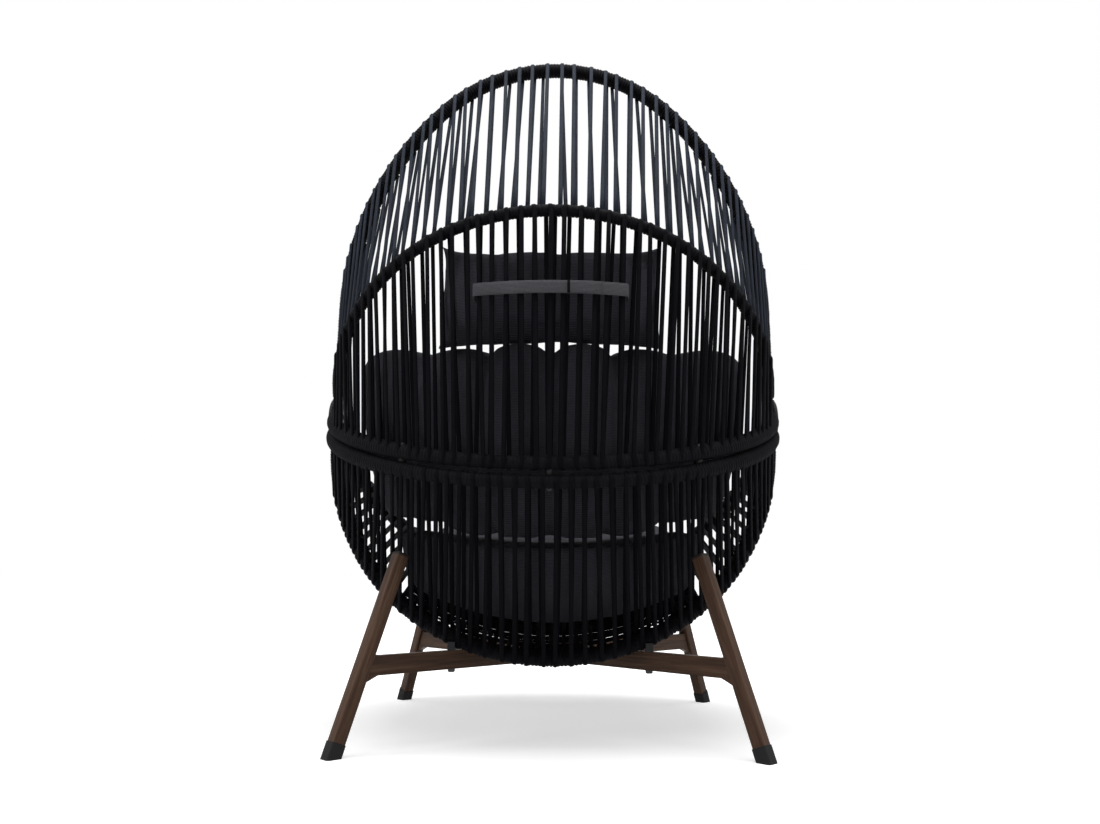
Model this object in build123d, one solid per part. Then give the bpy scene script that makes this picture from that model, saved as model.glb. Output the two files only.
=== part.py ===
"""Rope egg chair: a corded hood bolted to a corded basket on a four-legged cross base.

The chair faces -Y, its back is +Y, +Z is up, and the origin is on the floor at the centre.
Every hoop is a planar arch of arcs that starts at a side hub and rises to a crown on the
chair's middle plane. Cords are strung straight between neighbouring hoops in two layers.
"""
from build123d import *
import os
from math import acos, atan2, cos, hypot, pi, radians, sin, sqrt

os.makedirs("parts", exist_ok=True)

# Base: legs, feet and crossing rails
FOOT_SPREAD = 372.0         # foot centre from the middle, along X and along Y
LEG_TOP_SPREAD = 280.0      # leg axis at its top, along X and along Y
LEG_TOP_HEIGHT = 345.0
LEG_SIDE = 25.0
LEG_CORNER = 4.0
LEG_WALL = 2.0
FOOT_CAP_LENGTH = 22.0
FOOT_CAP_WALL = 1.6
FOOT_CAP_FLOOR = 5.0        # solid rubber below the end of the leg, along the leg
TOP_CAP_DOME = 6.0
TOP_CAP_ROUNDING = 3.6
TOP_CAP_PLUG = 14.0
TOP_CAP_FIT = 0.15
RAIL_HEIGHT = 35.0
RAIL_THICKNESS = 14.0
RAIL_FLARE_LENGTH = 15.0
RAIL_FLARE_HEIGHT = 6.0
LAP_CLEARANCE = 0.1

# Fasteners
BOLT_DIAMETER = 8.0
BOLT_HEAD_DIAMETER = 14.0
BOLT_HEAD_HEIGHT = 6.0
NUT_WIDTH = 13.0
NUT_HEIGHT = 6.5
BOLT_CLEARANCE = 0.2        # radial room in a drilled hole
HEAD_CHAMFER = 0.25         # of a bolt head's height
BOLT_STICK_OUT = 2.0
MOUNT_SPREAD = 190.0        # basket fixings on the rails, along X and along Y

# Egg: hubs, hoops and their cord wraps
HALF_WIDTH = 472.0          # hub centre from the middle plane
SPLIT_HEIGHT = 646.5        # joint between hood and basket at the hubs
SPLIT_DROP = 33.0           # height between the hood's hub point and the basket's
RING_REACH = 424.0          # crown of both rear rings, behind the hubs
RING_FALL = 158.0           # crown of both rear rings, below their hub points
RING_JOIN = 48.16           # angle where a hoop's side arc meets its crown arc
LOWER_REACH = 198.0
LOWER_HEIGHT = 154.0
LOWER_JOIN = 32.14
RIM_HEIGHT = 300.0
RIM_JOIN = 39.36
MID_REACH = 375.0
MID_HEIGHT = 987.0
MID_JOIN = 45.0
FRONT_REACH = -48.0
FRONT_HEIGHT = 1509.3
FRONT_JOIN = 45.9
FRONT_LEG = 238.0           # straight length of the front hoop above the hub
TUBE_WALL = 1.5
WRAP_THICKNESS = 3.0
FRONT_TUBE = 26.0
MID_TUBE = 17.0
RING_TUBE = 18.0
LOWER_TUBE = 24.0
RIM_TUBE = 24.0
HUB_RADIUS = 48.0
HUB_THICKNESS = 32.0
HUB_ROUNDING = 7.0
TUBE_START = 24.0           # tube end inside the hub, from the hub point
WRAP_START = 57.0           # wrap end outside the hub, from the hub point

# Joint between the two rear rings
RING_BOLT_PLACES = (0.0, 12.0)   # along the ring from its crown, in cord pitches
RING_BOLT_DIAMETER = 6.0
RING_HEAD_DIAMETER = 10.0
RING_HEAD_HEIGHT = 4.0
RING_NUT_WIDTH = 10.0
RING_NUT_HEIGHT = 5.0
SPACER_DIAMETER = 16.0

# Strung cords
CORD_DIAMETER = 7.0
CORD_CLEARANCE = 0.25       # between a strung cord and the wrap that it passes
STRANDS = 23                # on each half of a hoop, in each layer
FRONT_FREE = 317.0          # hoop length beside each hub that carries no cords
MID_FREE = 130.0
RING_FREE = 176.4
LOWER_FREE = 155.0
RIM_FREE = 170.2
INNER_SHIFT = 0.25          # sideways shift of an inner cord, in pitches
LOWER_INNER = 0.55          # place of an inner cord between two seat cords on the lower hoop
UNDER_FIRST = 13            # first cord below the seat, counted from the middle

# Seat support on the front rails
BEARER_FLATTEN = 1.03       # its bend is this much wider than the cords' hollow
BEARER_DIAMETER = 20.0
BEARER_HALF_WIDTH = 245.0
POST_DIAMETER = 22.0
POST_WALL = 2.0
POST_PLATE = 4.0
POST_PLATE_WIDTH = 34.0
POST_SHOULDER = 3.0         # post top below the bearer's middle
SADDLE_WIDTH = 14.0
SADDLE_LENGTH = 26.0
SADDLE_FLOOR = 2.0          # least thickness between rail and hoop
SADDLE_RISE = 16.0          # block height before the hoop's groove is cut
SEAT_CLEARANCE = 0.3        # between a soft piece and what carries it

# Cushions and headrest
SEAT_HALF_WIDTH = 270.0
SEAT_EDGE = 62.0
SEAT_CROWN = 34.0
SEAT_SAG = 48.0
SEAT_SIDE_BULGE = 14.0
SEAT_STATIONS = (           # depth, half width, lift of the underside and rise of the top, rear to front
    (245.0, 113.0, 108.0, 22.0), (206.0, 173.0, 66.0, 18.0), (148.0, 232.0, 25.0, 13.0),
    (0.0, 270.0, -0.4, 0.0), (-170.0, 270.0, -0.4, 0.0), (-326.0, 256.0, 10.0, -7.0),
    (-372.0, 227.0, 22.0, -22.0))
BACK_THICKNESS = 128.0
BACK_BOTTOM = 386.0
BACK_TOP = 734.0
BACK_GAP = 5.2
BACK_TUCK = 26.0
BACK_LOBE = 11.0            # depth of a sewn channel
BACK_SPREAD = 66.0          # angle of the cushion's ends from the middle, at the widest
BACK_SEAM = 20.5            # angle of the outer sewn channels
BACK_SEAM_SHARE = 0.45      # where the cushion is narrow, their share of its spread
BACK_STATIONS = (           # share of the height, then of the spread and of the tuck
    (0.0, 0.3, 1.0), (0.1, 0.55, 0.35), (0.25, 0.76, 0.0), (0.5, 0.95, 0.0), (0.75, 1.0, 0.0),
    (0.92, 1.0, 0.3), (1.0, 0.96, 1.0))
PILLOW_HEIGHT = 190.0
PILLOW_HALF_WIDTH = 205.0
PILLOW_DRAW_IN = 10.0
PILLOW_REAR = 56.0
PILLOW_FRONT = 50.0
PILLOW_EDGE = 5.0
PILLOW_CENTRE = 842.0
PILLOW_STATIONS = (         # share of the height, then of the drawn-in side and of the fullness
    (-0.5, 0.0, 0.16), (-0.32, 0.7, 0.76), (0.0, 1.0, 1.0), (0.32, 0.7, 0.76), (0.5, 0.0, 0.16))
STRAP_HEIGHT = 25.0
STRAP_THICKNESS = 1.6
STRAP_CENTRE = 842.0
STRAP_SLOT = 5.43           # place of the strap's ends between cords, in pitches
STRAP_CLEARANCE = 0.5
OVERLAP_START = 30.0
OVERLAP_LENGTH = 64.0
OVERLAP_THICKNESS = 1.4

CORD_RADIUS = CORD_DIAMETER / 2
HUB_LIFT = SPLIT_DROP / 2
HOOD_Z = SPLIT_HEIGHT + HUB_LIFT
BASKET_Z = SPLIT_HEIGHT - HUB_LIFT
INSIDE = Vector(0, 0, SPLIT_HEIGHT)
X_AXIS = Vector(1, 0, 0)
Y_AXIS = Vector(0, 1, 0)
Z_AXIS = Vector(0, 0, 1)


class Hoop:
    """A planar arch from hub to hub: straight legs, side arcs and a crown arc."""

    def __init__(self, hub_height, reach, height, join, tube, leg=0.0):
        self.hub_height = hub_height
        rise = hypot(reach, height - hub_height)
        self.direction = Vector(0, reach / rise, (height - hub_height) / rise)
        self.rise = rise
        self.leg = leg
        self.tube_radius = tube / 2
        self.wrap_radius = tube / 2 + WRAP_THICKNESS
        arch = rise - leg
        self.turn = radians(join)
        across = cos(self.turn)
        upward = sin(self.turn)
        share = across + upward - 1
        self.crown_radius = (HALF_WIDTH * upward - arch * (1 - across)) / share
        self.side_radius = (arch * across - HALF_WIDTH * (1 - upward)) / share
        self.crown_length = self.crown_radius * (pi / 2 - self.turn)
        self.side_length = self.side_radius * self.turn
        self.half_length = self.crown_length + self.side_length + leg

    def flat(self, arc):
        """Place and heading in the hoop's plane, at an arc length from the crown."""
        if arc <= self.crown_length:
            angle = pi / 2 - arc / self.crown_radius
            middle = (0.0, self.rise - self.crown_radius)
            radius = self.crown_radius
        elif arc <= self.crown_length + self.side_length:
            angle = self.turn - (arc - self.crown_length) / self.side_radius
            middle = (HALF_WIDTH - self.side_radius, self.leg)
            radius = self.side_radius
        else:
            return HALF_WIDTH, self.half_length - arc, 0.0, -1.0
        x = middle[0] + radius * cos(angle)
        up = middle[1] + radius * sin(angle)
        return x, up, sin(angle), -cos(angle)

    def point(self, arc):
        """Point in space; a negative arc is on the -X half."""
        x, up, _, _ = self.flat(abs(arc))
        base = Vector(x if arc >= 0 else -x, 0, self.hub_height)
        return base + self.direction * up

    def tangent(self, arc):
        _, _, across, along = self.flat(abs(arc))
        return Vector(across if arc >= 0 else -across, 0, 0) + self.direction * along

    def arc_at(self, x):
        """Arc length from the crown to a distance from the middle plane."""
        low, high = 0.0, self.half_length - self.leg
        for _ in range(50):
            middle = (low + high) / 2
            if self.flat(middle)[0] < abs(x):
                low = middle
            else:
                high = middle
        return low if x >= 0 else -low

    def at_x(self, x):
        """Point of the arch at a distance from the middle plane."""
        return self.point(self.arc_at(x))

    def path(self, start):
        """Wire along the arch, from start above the -X hub to start above the other."""
        bends = [self.crown_length, self.crown_length + self.side_length]
        stops = [0.0] + [bend for bend in bends if bend < self.half_length - start - 0.01]
        stops.append(self.half_length - start)
        stops = [-arc for arc in stops[:0:-1]] + stops
        edges = []
        for a, b in zip(stops[:-1], stops[1:]):
            middle = (a + b) / 2
            if abs(middle) > bends[1]:
                edges.append(Edge.make_line(self.point(a), self.point(b)))
            else:
                edges.append(Edge.make_three_point_arc(self.point(a), self.point(middle), self.point(b)))
        return Wire(edges, sequenced=True)

    def sweep_ring(self, outer, inner, start):
        """Round tube along the arch."""
        path = self.path(start)
        section = Plane(origin=path @ 0, z_dir=path % 0) * (Circle(outer) - Circle(inner))
        return sweep(section, path=path).solids()[0]

    def tube(self):
        return self.sweep_ring(self.tube_radius, self.tube_radius - TUBE_WALL, TUBE_START)

    def wrap(self):
        return self.sweep_ring(self.wrap_radius, self.tube_radius, WRAP_START)

    def bar(self, radius, start):
        """Solid round bar along the arch, for cutting sockets."""
        path = self.path(start)
        section = Plane(origin=path @ 0, z_dir=path % 0) * Circle(radius)
        return sweep(section, path=path).solids()[0]


# Rear edge of the chair: rings, their wraps and the outer cords; the front rim reaches as far.
RING_WRAP = RING_TUBE / 2 + WRAP_THICKNESS
REAR_EXTENT = RING_REACH + RING_WRAP + CORD_CLEARANCE + CORD_DIAMETER
RIM_REACH = -(REAR_EXTENT - RIM_TUBE / 2 - WRAP_THICKNESS)

hood_front = Hoop(HOOD_Z, FRONT_REACH, FRONT_HEIGHT, FRONT_JOIN, FRONT_TUBE, FRONT_LEG)
hood_mid = Hoop(HOOD_Z, MID_REACH, MID_HEIGHT, MID_JOIN, MID_TUBE)
hood_ring = Hoop(HOOD_Z, RING_REACH, HOOD_Z - RING_FALL, RING_JOIN, RING_TUBE)
basket_ring = Hoop(BASKET_Z, RING_REACH, BASKET_Z - RING_FALL, RING_JOIN, RING_TUBE)
lower_hoop = Hoop(BASKET_Z, LOWER_REACH, LOWER_HEIGHT, LOWER_JOIN, LOWER_TUBE)
front_rim = Hoop(BASKET_Z, RIM_REACH, RIM_HEIGHT, RIM_JOIN, RIM_TUBE)


def cord_pitch(hoop, free):
    """Spacing of the cords along a hoop."""
    return (hoop.half_length - free) / STRANDS


FRONT_PITCH = cord_pitch(hood_front, FRONT_FREE)
MID_PITCH = cord_pitch(hood_mid, MID_FREE)
RING_PITCH = cord_pitch(hood_ring, RING_FREE)
LOWER_PITCH = cord_pitch(lower_hoop, LOWER_FREE)
RIM_PITCH = cord_pitch(front_rim, RIM_FREE)

nodes = {}


def rail_seat(hoop):
    """Lowest place of a hoop's wrap above the diagonal rails."""
    lowest = hoop.hub_height
    for arc in range(int(hoop.half_length)):
        spot = hoop.point(arc)
        aside = max(abs(spot.X - spot.Y) / sqrt(2) - RAIL_THICKNESS / 2, 0)
        if aside < hoop.wrap_radius:
            lowest = min(lowest, spot.Z - sqrt(hoop.wrap_radius ** 2 - aside ** 2))
    return lowest


RAIL_TOP = rail_seat(lower_hoop) - SADDLE_FLOOR


def rod(start, end, radius):
    """Round bar between two points."""
    along = end - start
    return Solid.make_cylinder(radius, along.length, Plane(origin=start, z_dir=along))


# Base
def leg_plane(sx, sy):
    """Plane square to a leg at the floor, with its X axis on the rail's diagonal."""
    foot = Vector(sx * FOOT_SPREAD, sy * FOOT_SPREAD, 0)
    top = Vector(sx * LEG_TOP_SPREAD, sy * LEG_TOP_SPREAD, LEG_TOP_HEIGHT)
    axis = (top - foot).normalized()
    across = Vector(-sy, sx, 0).normalized()
    return Plane(origin=foot, x_dir=across.cross(axis), z_dir=axis), (top - foot).length


def square_bar(plane, side, corner, low, high):
    """Bar of rounded square section along a plane's normal."""
    section = plane.offset(low) * RectangleRounded(side, side, corner)
    return extrude(section, amount=high - low, dir=plane.z_dir).solids()[0]


def leg(sx, sy):
    plane, length = leg_plane(sx, sy)
    outer = square_bar(plane, LEG_SIDE, LEG_CORNER, FOOT_CAP_FLOOR + LEG_FOOT_SETBACK, length)
    bore_side = LEG_SIDE - 2 * LEG_WALL
    bore = square_bar(plane, bore_side, LEG_CORNER - LEG_WALL, 0, length + 1)
    return (outer - bore).solids()[0]


def leg_blank(sx, sy):
    plane, length = leg_plane(sx, sy)
    return square_bar(plane, LEG_SIDE, LEG_CORNER, 0, length)


def foot_cap(sx, sy):
    """Rubber cap whose sole is flat on the floor."""
    plane, _ = leg_plane(sx, sy)
    side = LEG_SIDE + 2 * FOOT_CAP_WALL
    top = LEG_FOOT_SETBACK + FOOT_CAP_LENGTH
    body = square_bar(plane, side, LEG_CORNER + FOOT_CAP_WALL, -side, top)
    below = Pos(plane.origin.X, plane.origin.Y, -side) * Box(4 * side, 4 * side, 2 * side)
    socket = square_bar(plane, LEG_SIDE, LEG_CORNER, LEG_FOOT_SETBACK + FOOT_CAP_FLOOR, top + 1)
    return (body - below - socket).solids()[0]


def top_cap(sx, sy):
    """Domed plastic plug that closes the leg."""
    plane, length = leg_plane(sx, sy)
    dome = square_bar(plane, LEG_SIDE, LEG_CORNER, length, length + TOP_CAP_DOME)
    upper = dome.faces().sort_by(Axis(plane.origin, plane.z_dir))[-1]
    dome = fillet(upper.edges(), TOP_CAP_ROUNDING)
    plug_side = LEG_SIDE - 2 * LEG_WALL - 2 * TOP_CAP_FIT
    plug = square_bar(plane, plug_side, LEG_CORNER - LEG_WALL, length - TOP_CAP_PLUG, length)
    return (dome + plug).solids()[0]


# The leg's corner that is lowest leaves its cap room to the floor.
LEG_TILT = atan2(sqrt(2) * (FOOT_SPREAD - LEG_TOP_SPREAD), LEG_TOP_HEIGHT)
LEG_FOOT_SETBACK = LEG_SIDE / 2 * sin(LEG_TILT) / cos(LEG_TILT)
QUARTERS = {"rear_left": (1, 1), "rear_right": (-1, 1), "front_left": (1, -1), "front_right": (-1, -1)}
RAIL_BOTTOM = RAIL_TOP - RAIL_HEIGHT
RAIL_MIDDLE = RAIL_TOP - RAIL_HEIGHT / 2


def rail(sx, sy, notch_low, notch_high):
    """Flat bar between two opposite legs, flared where it is welded to them."""
    share = RAIL_MIDDLE / LEG_TOP_HEIGHT
    reach = sqrt(2) * (FOOT_SPREAD + (LEG_TOP_SPREAD - FOOT_SPREAD) * share)
    inner = reach - LEG_SIDE / 2 / cos(LEG_TILT) - RAIL_FLARE_LENGTH
    profile = [
        (-reach, RAIL_TOP + RAIL_FLARE_HEIGHT * 2), (-inner, RAIL_TOP),
        (inner, RAIL_TOP), (reach, RAIL_TOP + RAIL_FLARE_HEIGHT * 2),
        (reach, RAIL_BOTTOM - RAIL_FLARE_HEIGHT * 2), (inner, RAIL_BOTTOM),
        (-inner, RAIL_BOTTOM), (-reach, RAIL_BOTTOM - RAIL_FLARE_HEIGHT * 2),
    ]
    along = Vector(sx, sy, 0).normalized()
    across = along.cross(Z_AXIS)
    plane = Plane(origin=(0, 0, 0), x_dir=along, z_dir=across)
    bar = extrude(plane * make_face(Polyline(*profile, close=True)), amount=RAIL_THICKNESS / 2, both=True)
    for ends in ((sx, sy), (-sx, -sy)):
        bar = bar - leg_blank(*ends)
    notch_plane = Plane(origin=(0, 0, (notch_low + notch_high) / 2), x_dir=along, z_dir=Z_AXIS)
    lap = RAIL_THICKNESS + 2 * LAP_CLEARANCE
    bar = bar - notch_plane * Box(lap, 2 * RAIL_THICKNESS, notch_high - notch_low)
    bar = bar - Cylinder(BOLT_DIAMETER / 2 + BOLT_CLEARANCE, 4 * RAIL_TOP)
    for sign in (1, -1):
        spot = Pos(sign * sx * MOUNT_SPREAD, sign * sy * MOUNT_SPREAD, 0)
        bar = bar - spot * Cylinder(BOLT_DIAMETER / 2 + BOLT_CLEARANCE, 4 * RAIL_TOP)
    return max(bar.solids(), key=lambda piece: piece.volume)


def hex_nut(width, height, bore, plane):
    shape = plane * (RegularPolygon(width / sqrt(3), 6) - Circle(bore / 2))
    return extrude(shape, amount=height, dir=plane.z_dir).solids()[0]


def bolt(plane, diameter, head_diameter, head_height, length):
    """Round-headed bolt; the plane is the head's seat and its normal runs down the shank."""
    shank = extrude(plane * Circle(diameter / 2), amount=length, dir=plane.z_dir)
    head = extrude(plane * Circle(head_diameter / 2), amount=head_height, dir=-plane.z_dir)
    crown = head.faces().sort_by(Axis(plane.origin, plane.z_dir))[0]
    head = chamfer(crown.edges(), head_height * HEAD_CHAMFER)
    return (shank + head).solids()[0]


for name, quarter in QUARTERS.items():
    nodes["leg_" + name] = leg(*quarter)
    nodes["foot_cap_" + name] = foot_cap(*quarter)
    nodes["leg_top_cap_" + name] = top_cap(*quarter)
nodes["cross_rail_left"] = rail(1, 1, RAIL_MIDDLE, RAIL_TOP + 1)
nodes["cross_rail_right"] = rail(-1, 1, RAIL_BOTTOM - 1, RAIL_MIDDLE + LAP_CLEARANCE)
centre_down = Plane(origin=(0, 0, RAIL_TOP), z_dir=-Z_AXIS)
nodes["centre_bolt"] = bolt(centre_down, BOLT_DIAMETER, BOLT_HEAD_DIAMETER, BOLT_HEAD_HEIGHT,
                            RAIL_HEIGHT + NUT_HEIGHT + BOLT_STICK_OUT)
nodes["centre_nut"] = hex_nut(NUT_WIDTH, NUT_HEIGHT, BOLT_DIAMETER + 2 * BOLT_CLEARANCE,
                              Plane(origin=(0, 0, RAIL_BOTTOM), z_dir=-Z_AXIS))

# Hoops: tubes, wraps and hubs
HOOPS = {"hood_front": hood_front, "hood_mid": hood_mid, "hood_ring": hood_ring,
         "basket_ring": basket_ring, "basket_lower": lower_hoop, "basket_rim": front_rim}
SPLIT_NORMAL = X_AXIS.cross(hood_ring.direction).normalized()
if SPLIT_NORMAL.Z < 0:
    SPLIT_NORMAL = -SPLIT_NORMAL


def hub(side, above, hoops):
    """Half of a side hub, with a bore for each tube that it holds."""
    centre = Vector(side * HALF_WIDTH, 0, SPLIT_HEIGHT)
    disc = Solid.make_cylinder(HUB_RADIUS, HUB_THICKNESS,
                               Plane(origin=centre - X_AXIS * (HUB_THICKNESS / 2), z_dir=X_AXIS))
    disc = fillet(disc.edges().filter_by(GeomType.CIRCLE), HUB_ROUNDING)
    keep = SPLIT_NORMAL if above else -SPLIT_NORMAL
    half = Plane(origin=centre, x_dir=X_AXIS, z_dir=keep) * Pos(0, 0, HUB_RADIUS) * Box(
        3 * HUB_RADIUS, 3 * HUB_RADIUS, 2 * HUB_RADIUS)
    piece = disc & half
    for hoop in hoops:
        piece = piece - hoop.bar(hoop.tube_radius, TUBE_START)
    return max(piece.solids(), key=lambda part: part.volume)


tubes = {name: hoop.tube() for name, hoop in HOOPS.items()}
wraps = {name: hoop.wrap() for name, hoop in HOOPS.items()}
HOOD_HOOPS = (hood_front, hood_mid, hood_ring)
BASKET_HOOPS = (basket_ring, lower_hoop, front_rim)
for word, side in (("left", 1), ("right", -1)):
    nodes["hood_hub_" + word] = hub(side, True, HOOD_HOOPS)
    nodes["basket_hub_" + word] = hub(side, False, BASKET_HOOPS)

# Ring joint: spacers between the wraps, bolts from above, nuts below
ring_spacers, ring_bolts, ring_nuts = [], [], []
hole_radius = RING_BOLT_DIAMETER / 2 + BOLT_CLEARANCE
for place in sorted({sign * count * RING_PITCH for count in RING_BOLT_PLACES for sign in (1, -1)}):
    top, bottom = hood_ring.point(place), basket_ring.point(place)
    apart = (top - bottom).dot(SPLIT_NORMAL)
    foot = top - SPLIT_NORMAL * apart
    reach = hood_ring.wrap_radius
    head_seat = Plane(origin=top + SPLIT_NORMAL * reach, z_dir=-SPLIT_NORMAL)
    nut_seat = Plane(origin=foot - SPLIT_NORMAL * reach, z_dir=-SPLIT_NORMAL)
    grip = apart + 2 * reach
    shank = grip + RING_NUT_HEIGHT + BOLT_STICK_OUT
    ring_bolts.append(bolt(head_seat, RING_BOLT_DIAMETER, RING_HEAD_DIAMETER, RING_HEAD_HEIGHT, shank))
    ring_nuts.append(hex_nut(RING_NUT_WIDTH, RING_NUT_HEIGHT, 2 * hole_radius, nut_seat))
    drill = rod(top + SPLIT_NORMAL * 2 * reach, foot - SPLIT_NORMAL * 2 * reach, hole_radius)
    spacer = rod(foot, top, SPACER_DIAMETER / 2) - drill
    for name in ("hood_ring", "basket_ring"):
        spacer = spacer - HOOPS[name].bar(HOOPS[name].wrap_radius, WRAP_START)
        tubes[name] = (tubes[name] - drill).solids()[0]
        wraps[name] = (wraps[name] - drill).solids()[0]
    ring_spacers.append(max(spacer.solids(), key=lambda part: part.volume))

# Basket fixings on the rear rails
mount_bolts = []
lower_bar = lower_hoop.bar(lower_hoop.wrap_radius, WRAP_START)
for word, side in (("left", 1), ("right", -1)):
    spot = Vector(side * MOUNT_SPREAD, MOUNT_SPREAD, 0)
    drill = Pos(spot.X, spot.Y, 0) * Cylinder(BOLT_DIAMETER / 2 + BOLT_CLEARANCE, 4 * RAIL_TOP)
    block = Pos(spot.X, spot.Y, RAIL_TOP + SADDLE_RISE / 2) * Box(SADDLE_WIDTH, SADDLE_LENGTH, SADDLE_RISE)
    block = block - lower_bar - drill
    nodes["basket_saddle_" + word] = max(block.solids(), key=lambda part: part.volume)
    bolt_end = lower_hoop.at_x(MOUNT_SPREAD).Z
    wraps["basket_lower"] = (wraps["basket_lower"] - drill).solids()[0]
    tubes["basket_lower"] = (tubes["basket_lower"] - drill).solids()[0]
    mount_bolts.append(bolt(Plane(origin=(spot.X, spot.Y, RAIL_BOTTOM), z_dir=Z_AXIS), BOLT_DIAMETER,
                            BOLT_HEAD_DIAMETER, BOLT_HEAD_HEIGHT, bolt_end - RAIL_BOTTOM))

for name in HOOPS:
    nodes[name + "_tube"] = tubes[name]
    nodes[name + "_wrap"] = wraps[name]


# Strung cords
def strand_line(hoop_a, arc_a, hoop_b, arc_b, outward):
    """Axis of a straight cord that passes two hoops on their outer or inner side."""
    middle_a, middle_b = hoop_a.point(arc_a), hoop_b.point(arc_b)
    start, end = middle_a, middle_b
    for _ in range(4):
        along = (end - start).normalized()
        ends = []
        for hoop, arc, middle in ((hoop_a, arc_a, middle_a), (hoop_b, arc_b, middle_b)):
            away = hoop.tangent(arc).cross(along).normalized()
            if (away.dot((middle_a + middle_b) / 2 - INSIDE) > 0) != outward:
                away = -away
            ends.append(middle + away * (hoop.wrap_radius + CORD_RADIUS + CORD_CLEARANCE))
        start, end = ends
    return start, end


def strands(hoop_a, pitch_a, hoop_b, pitch_b, places_a, places_b, outward):
    """Group of cords on both halves of two hoops; places are in pitches from the middle."""
    group = []
    for place_a, place_b in zip(places_a, places_b):
        for side in ((1, -1) if place_a else (1,)):
            start, end = strand_line(hoop_a, side * place_a * pitch_a, hoop_b, side * place_b * pitch_b,
                                     outward)
            group.append(rod(start, end, CORD_RADIUS))
    return group


whole = list(range(STRANDS))
half = [k + 0.5 for k in whole]
half_shifted = [k + 0.5 + INNER_SHIFT for k in whole]
between_seat = [k + LOWER_INNER for k in whole]
whole_shifted = [k + INNER_SHIFT for k in whole]
nodes["hood_upper_cords_outer"] = strands(hood_front, FRONT_PITCH, hood_mid, MID_PITCH, half, half, True)
nodes["hood_upper_cords_inner"] = strands(hood_front, FRONT_PITCH, hood_mid, MID_PITCH, half,
                                          half_shifted, False)
nodes["hood_rear_cords_outer"] = strands(hood_mid, MID_PITCH, hood_ring, RING_PITCH, whole, whole, True)
nodes["hood_rear_cords_inner"] = strands(hood_mid, MID_PITCH, hood_ring, RING_PITCH, whole_shifted,
                                         whole_shifted, False)
nodes["basket_rear_cords_outer"] = strands(basket_ring, RING_PITCH, lower_hoop, LOWER_PITCH, half, half,
                                           True)
nodes["basket_rear_cords_inner"] = strands(basket_ring, RING_PITCH, lower_hoop, LOWER_PITCH,
                                           half_shifted, between_seat, False)
nodes["seat_cords_upper"] = strands(lower_hoop, LOWER_PITCH, front_rim, RIM_PITCH, whole, whole, False)
nodes["seat_cords_under"] = strands(lower_hoop, LOWER_PITCH, front_rim, RIM_PITCH, whole[UNDER_FIRST:],
                                    whole[UNDER_FIRST:], True)

# Places on the inner and outer faces of the corded panels
CORD_REACH = CORD_RADIUS * 2 + CORD_CLEARANCE


def panel_line(hoop_a, hoop_b, x):
    """Ends of the panel's middle line at a distance from the middle plane, and its normal."""
    arc = hoop_a.arc_at(x)
    a, b = hoop_a.point(arc), hoop_b.at_x(x)
    normal = hoop_a.tangent(arc).cross(b - a).normalized()
    return a, b, normal


def panel_depth(hoop_a, hoop_b, x, height, sign):
    """Depth of a rear panel's face at a place, its outer face for sign 1 and inner for -1."""
    a, b, normal = panel_line(hoop_a, hoop_b, x)
    share = (height - a.Z) / (b.Z - a.Z)
    reach = hoop_a.wrap_radius + (hoop_b.wrap_radius - hoop_a.wrap_radius) * share + CORD_REACH
    return a.Y + (b.Y - a.Y) * share + sign * reach / abs(normal.Y)


def rear_inner(x, height):
    """Depth of the inner face of the rear cords."""
    return min(panel_depth(hood_ring, hood_mid, x, height, -1),
               panel_depth(lower_hoop, basket_ring, x, height, -1))


def seat_height(x, y):
    """Height of the upper face of the seat cords."""
    a, b, normal = panel_line(lower_hoop, front_rim, x)
    share = (y - a.Y) / (b.Y - a.Y)
    return a.Z + (b.Z - a.Z) * share + (lower_hoop.wrap_radius + CORD_REACH) / abs(normal.Z)


# Seat bearer under the cords, on two posts from the front rails
bearer_radius = BEARER_DIAMETER / 2
bearer_y = -MOUNT_SPREAD
_, _, middle_normal = panel_line(lower_hoop, front_rim, 0)
hollow = seat_height(MOUNT_SPREAD, bearer_y) - seat_height(0, bearer_y)
bearer_bend = BEARER_FLATTEN * (MOUNT_SPREAD ** 2 + hollow ** 2) / (2 * hollow)
bearer_drop = (CORD_DIAMETER + SEAT_CLEARANCE + bearer_radius) / abs(middle_normal.Z)
bearer_low = seat_height(0, bearer_y) - bearer_drop
bearer_plane = Plane(origin=(0, bearer_y, bearer_low + bearer_bend), x_dir=X_AXIS, z_dir=-Y_AXIS)
bearer_rise = sqrt(bearer_bend ** 2 - BEARER_HALF_WIDTH ** 2)
bearer_path = Edge.make_three_point_arc(
    bearer_plane.from_local_coords((-BEARER_HALF_WIDTH, -bearer_rise, 0)),
    bearer_plane.from_local_coords((0, -bearer_bend, 0)),
    bearer_plane.from_local_coords((BEARER_HALF_WIDTH, -bearer_rise, 0)))
bearer_section = Plane(origin=bearer_path @ 0, z_dir=bearer_path % 0)
bearer_bar = sweep(bearer_section * Circle(bearer_radius), path=bearer_path).solids()[0]
bearer_tube = sweep(bearer_section * (Circle(bearer_radius) - Circle(bearer_radius - TUBE_WALL)),
                    path=bearer_path).solids()[0]
nodes["seat_bearer"] = bearer_tube
bearer_at_post = bearer_low + bearer_bend - sqrt(bearer_bend ** 2 - MOUNT_SPREAD ** 2)
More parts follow.
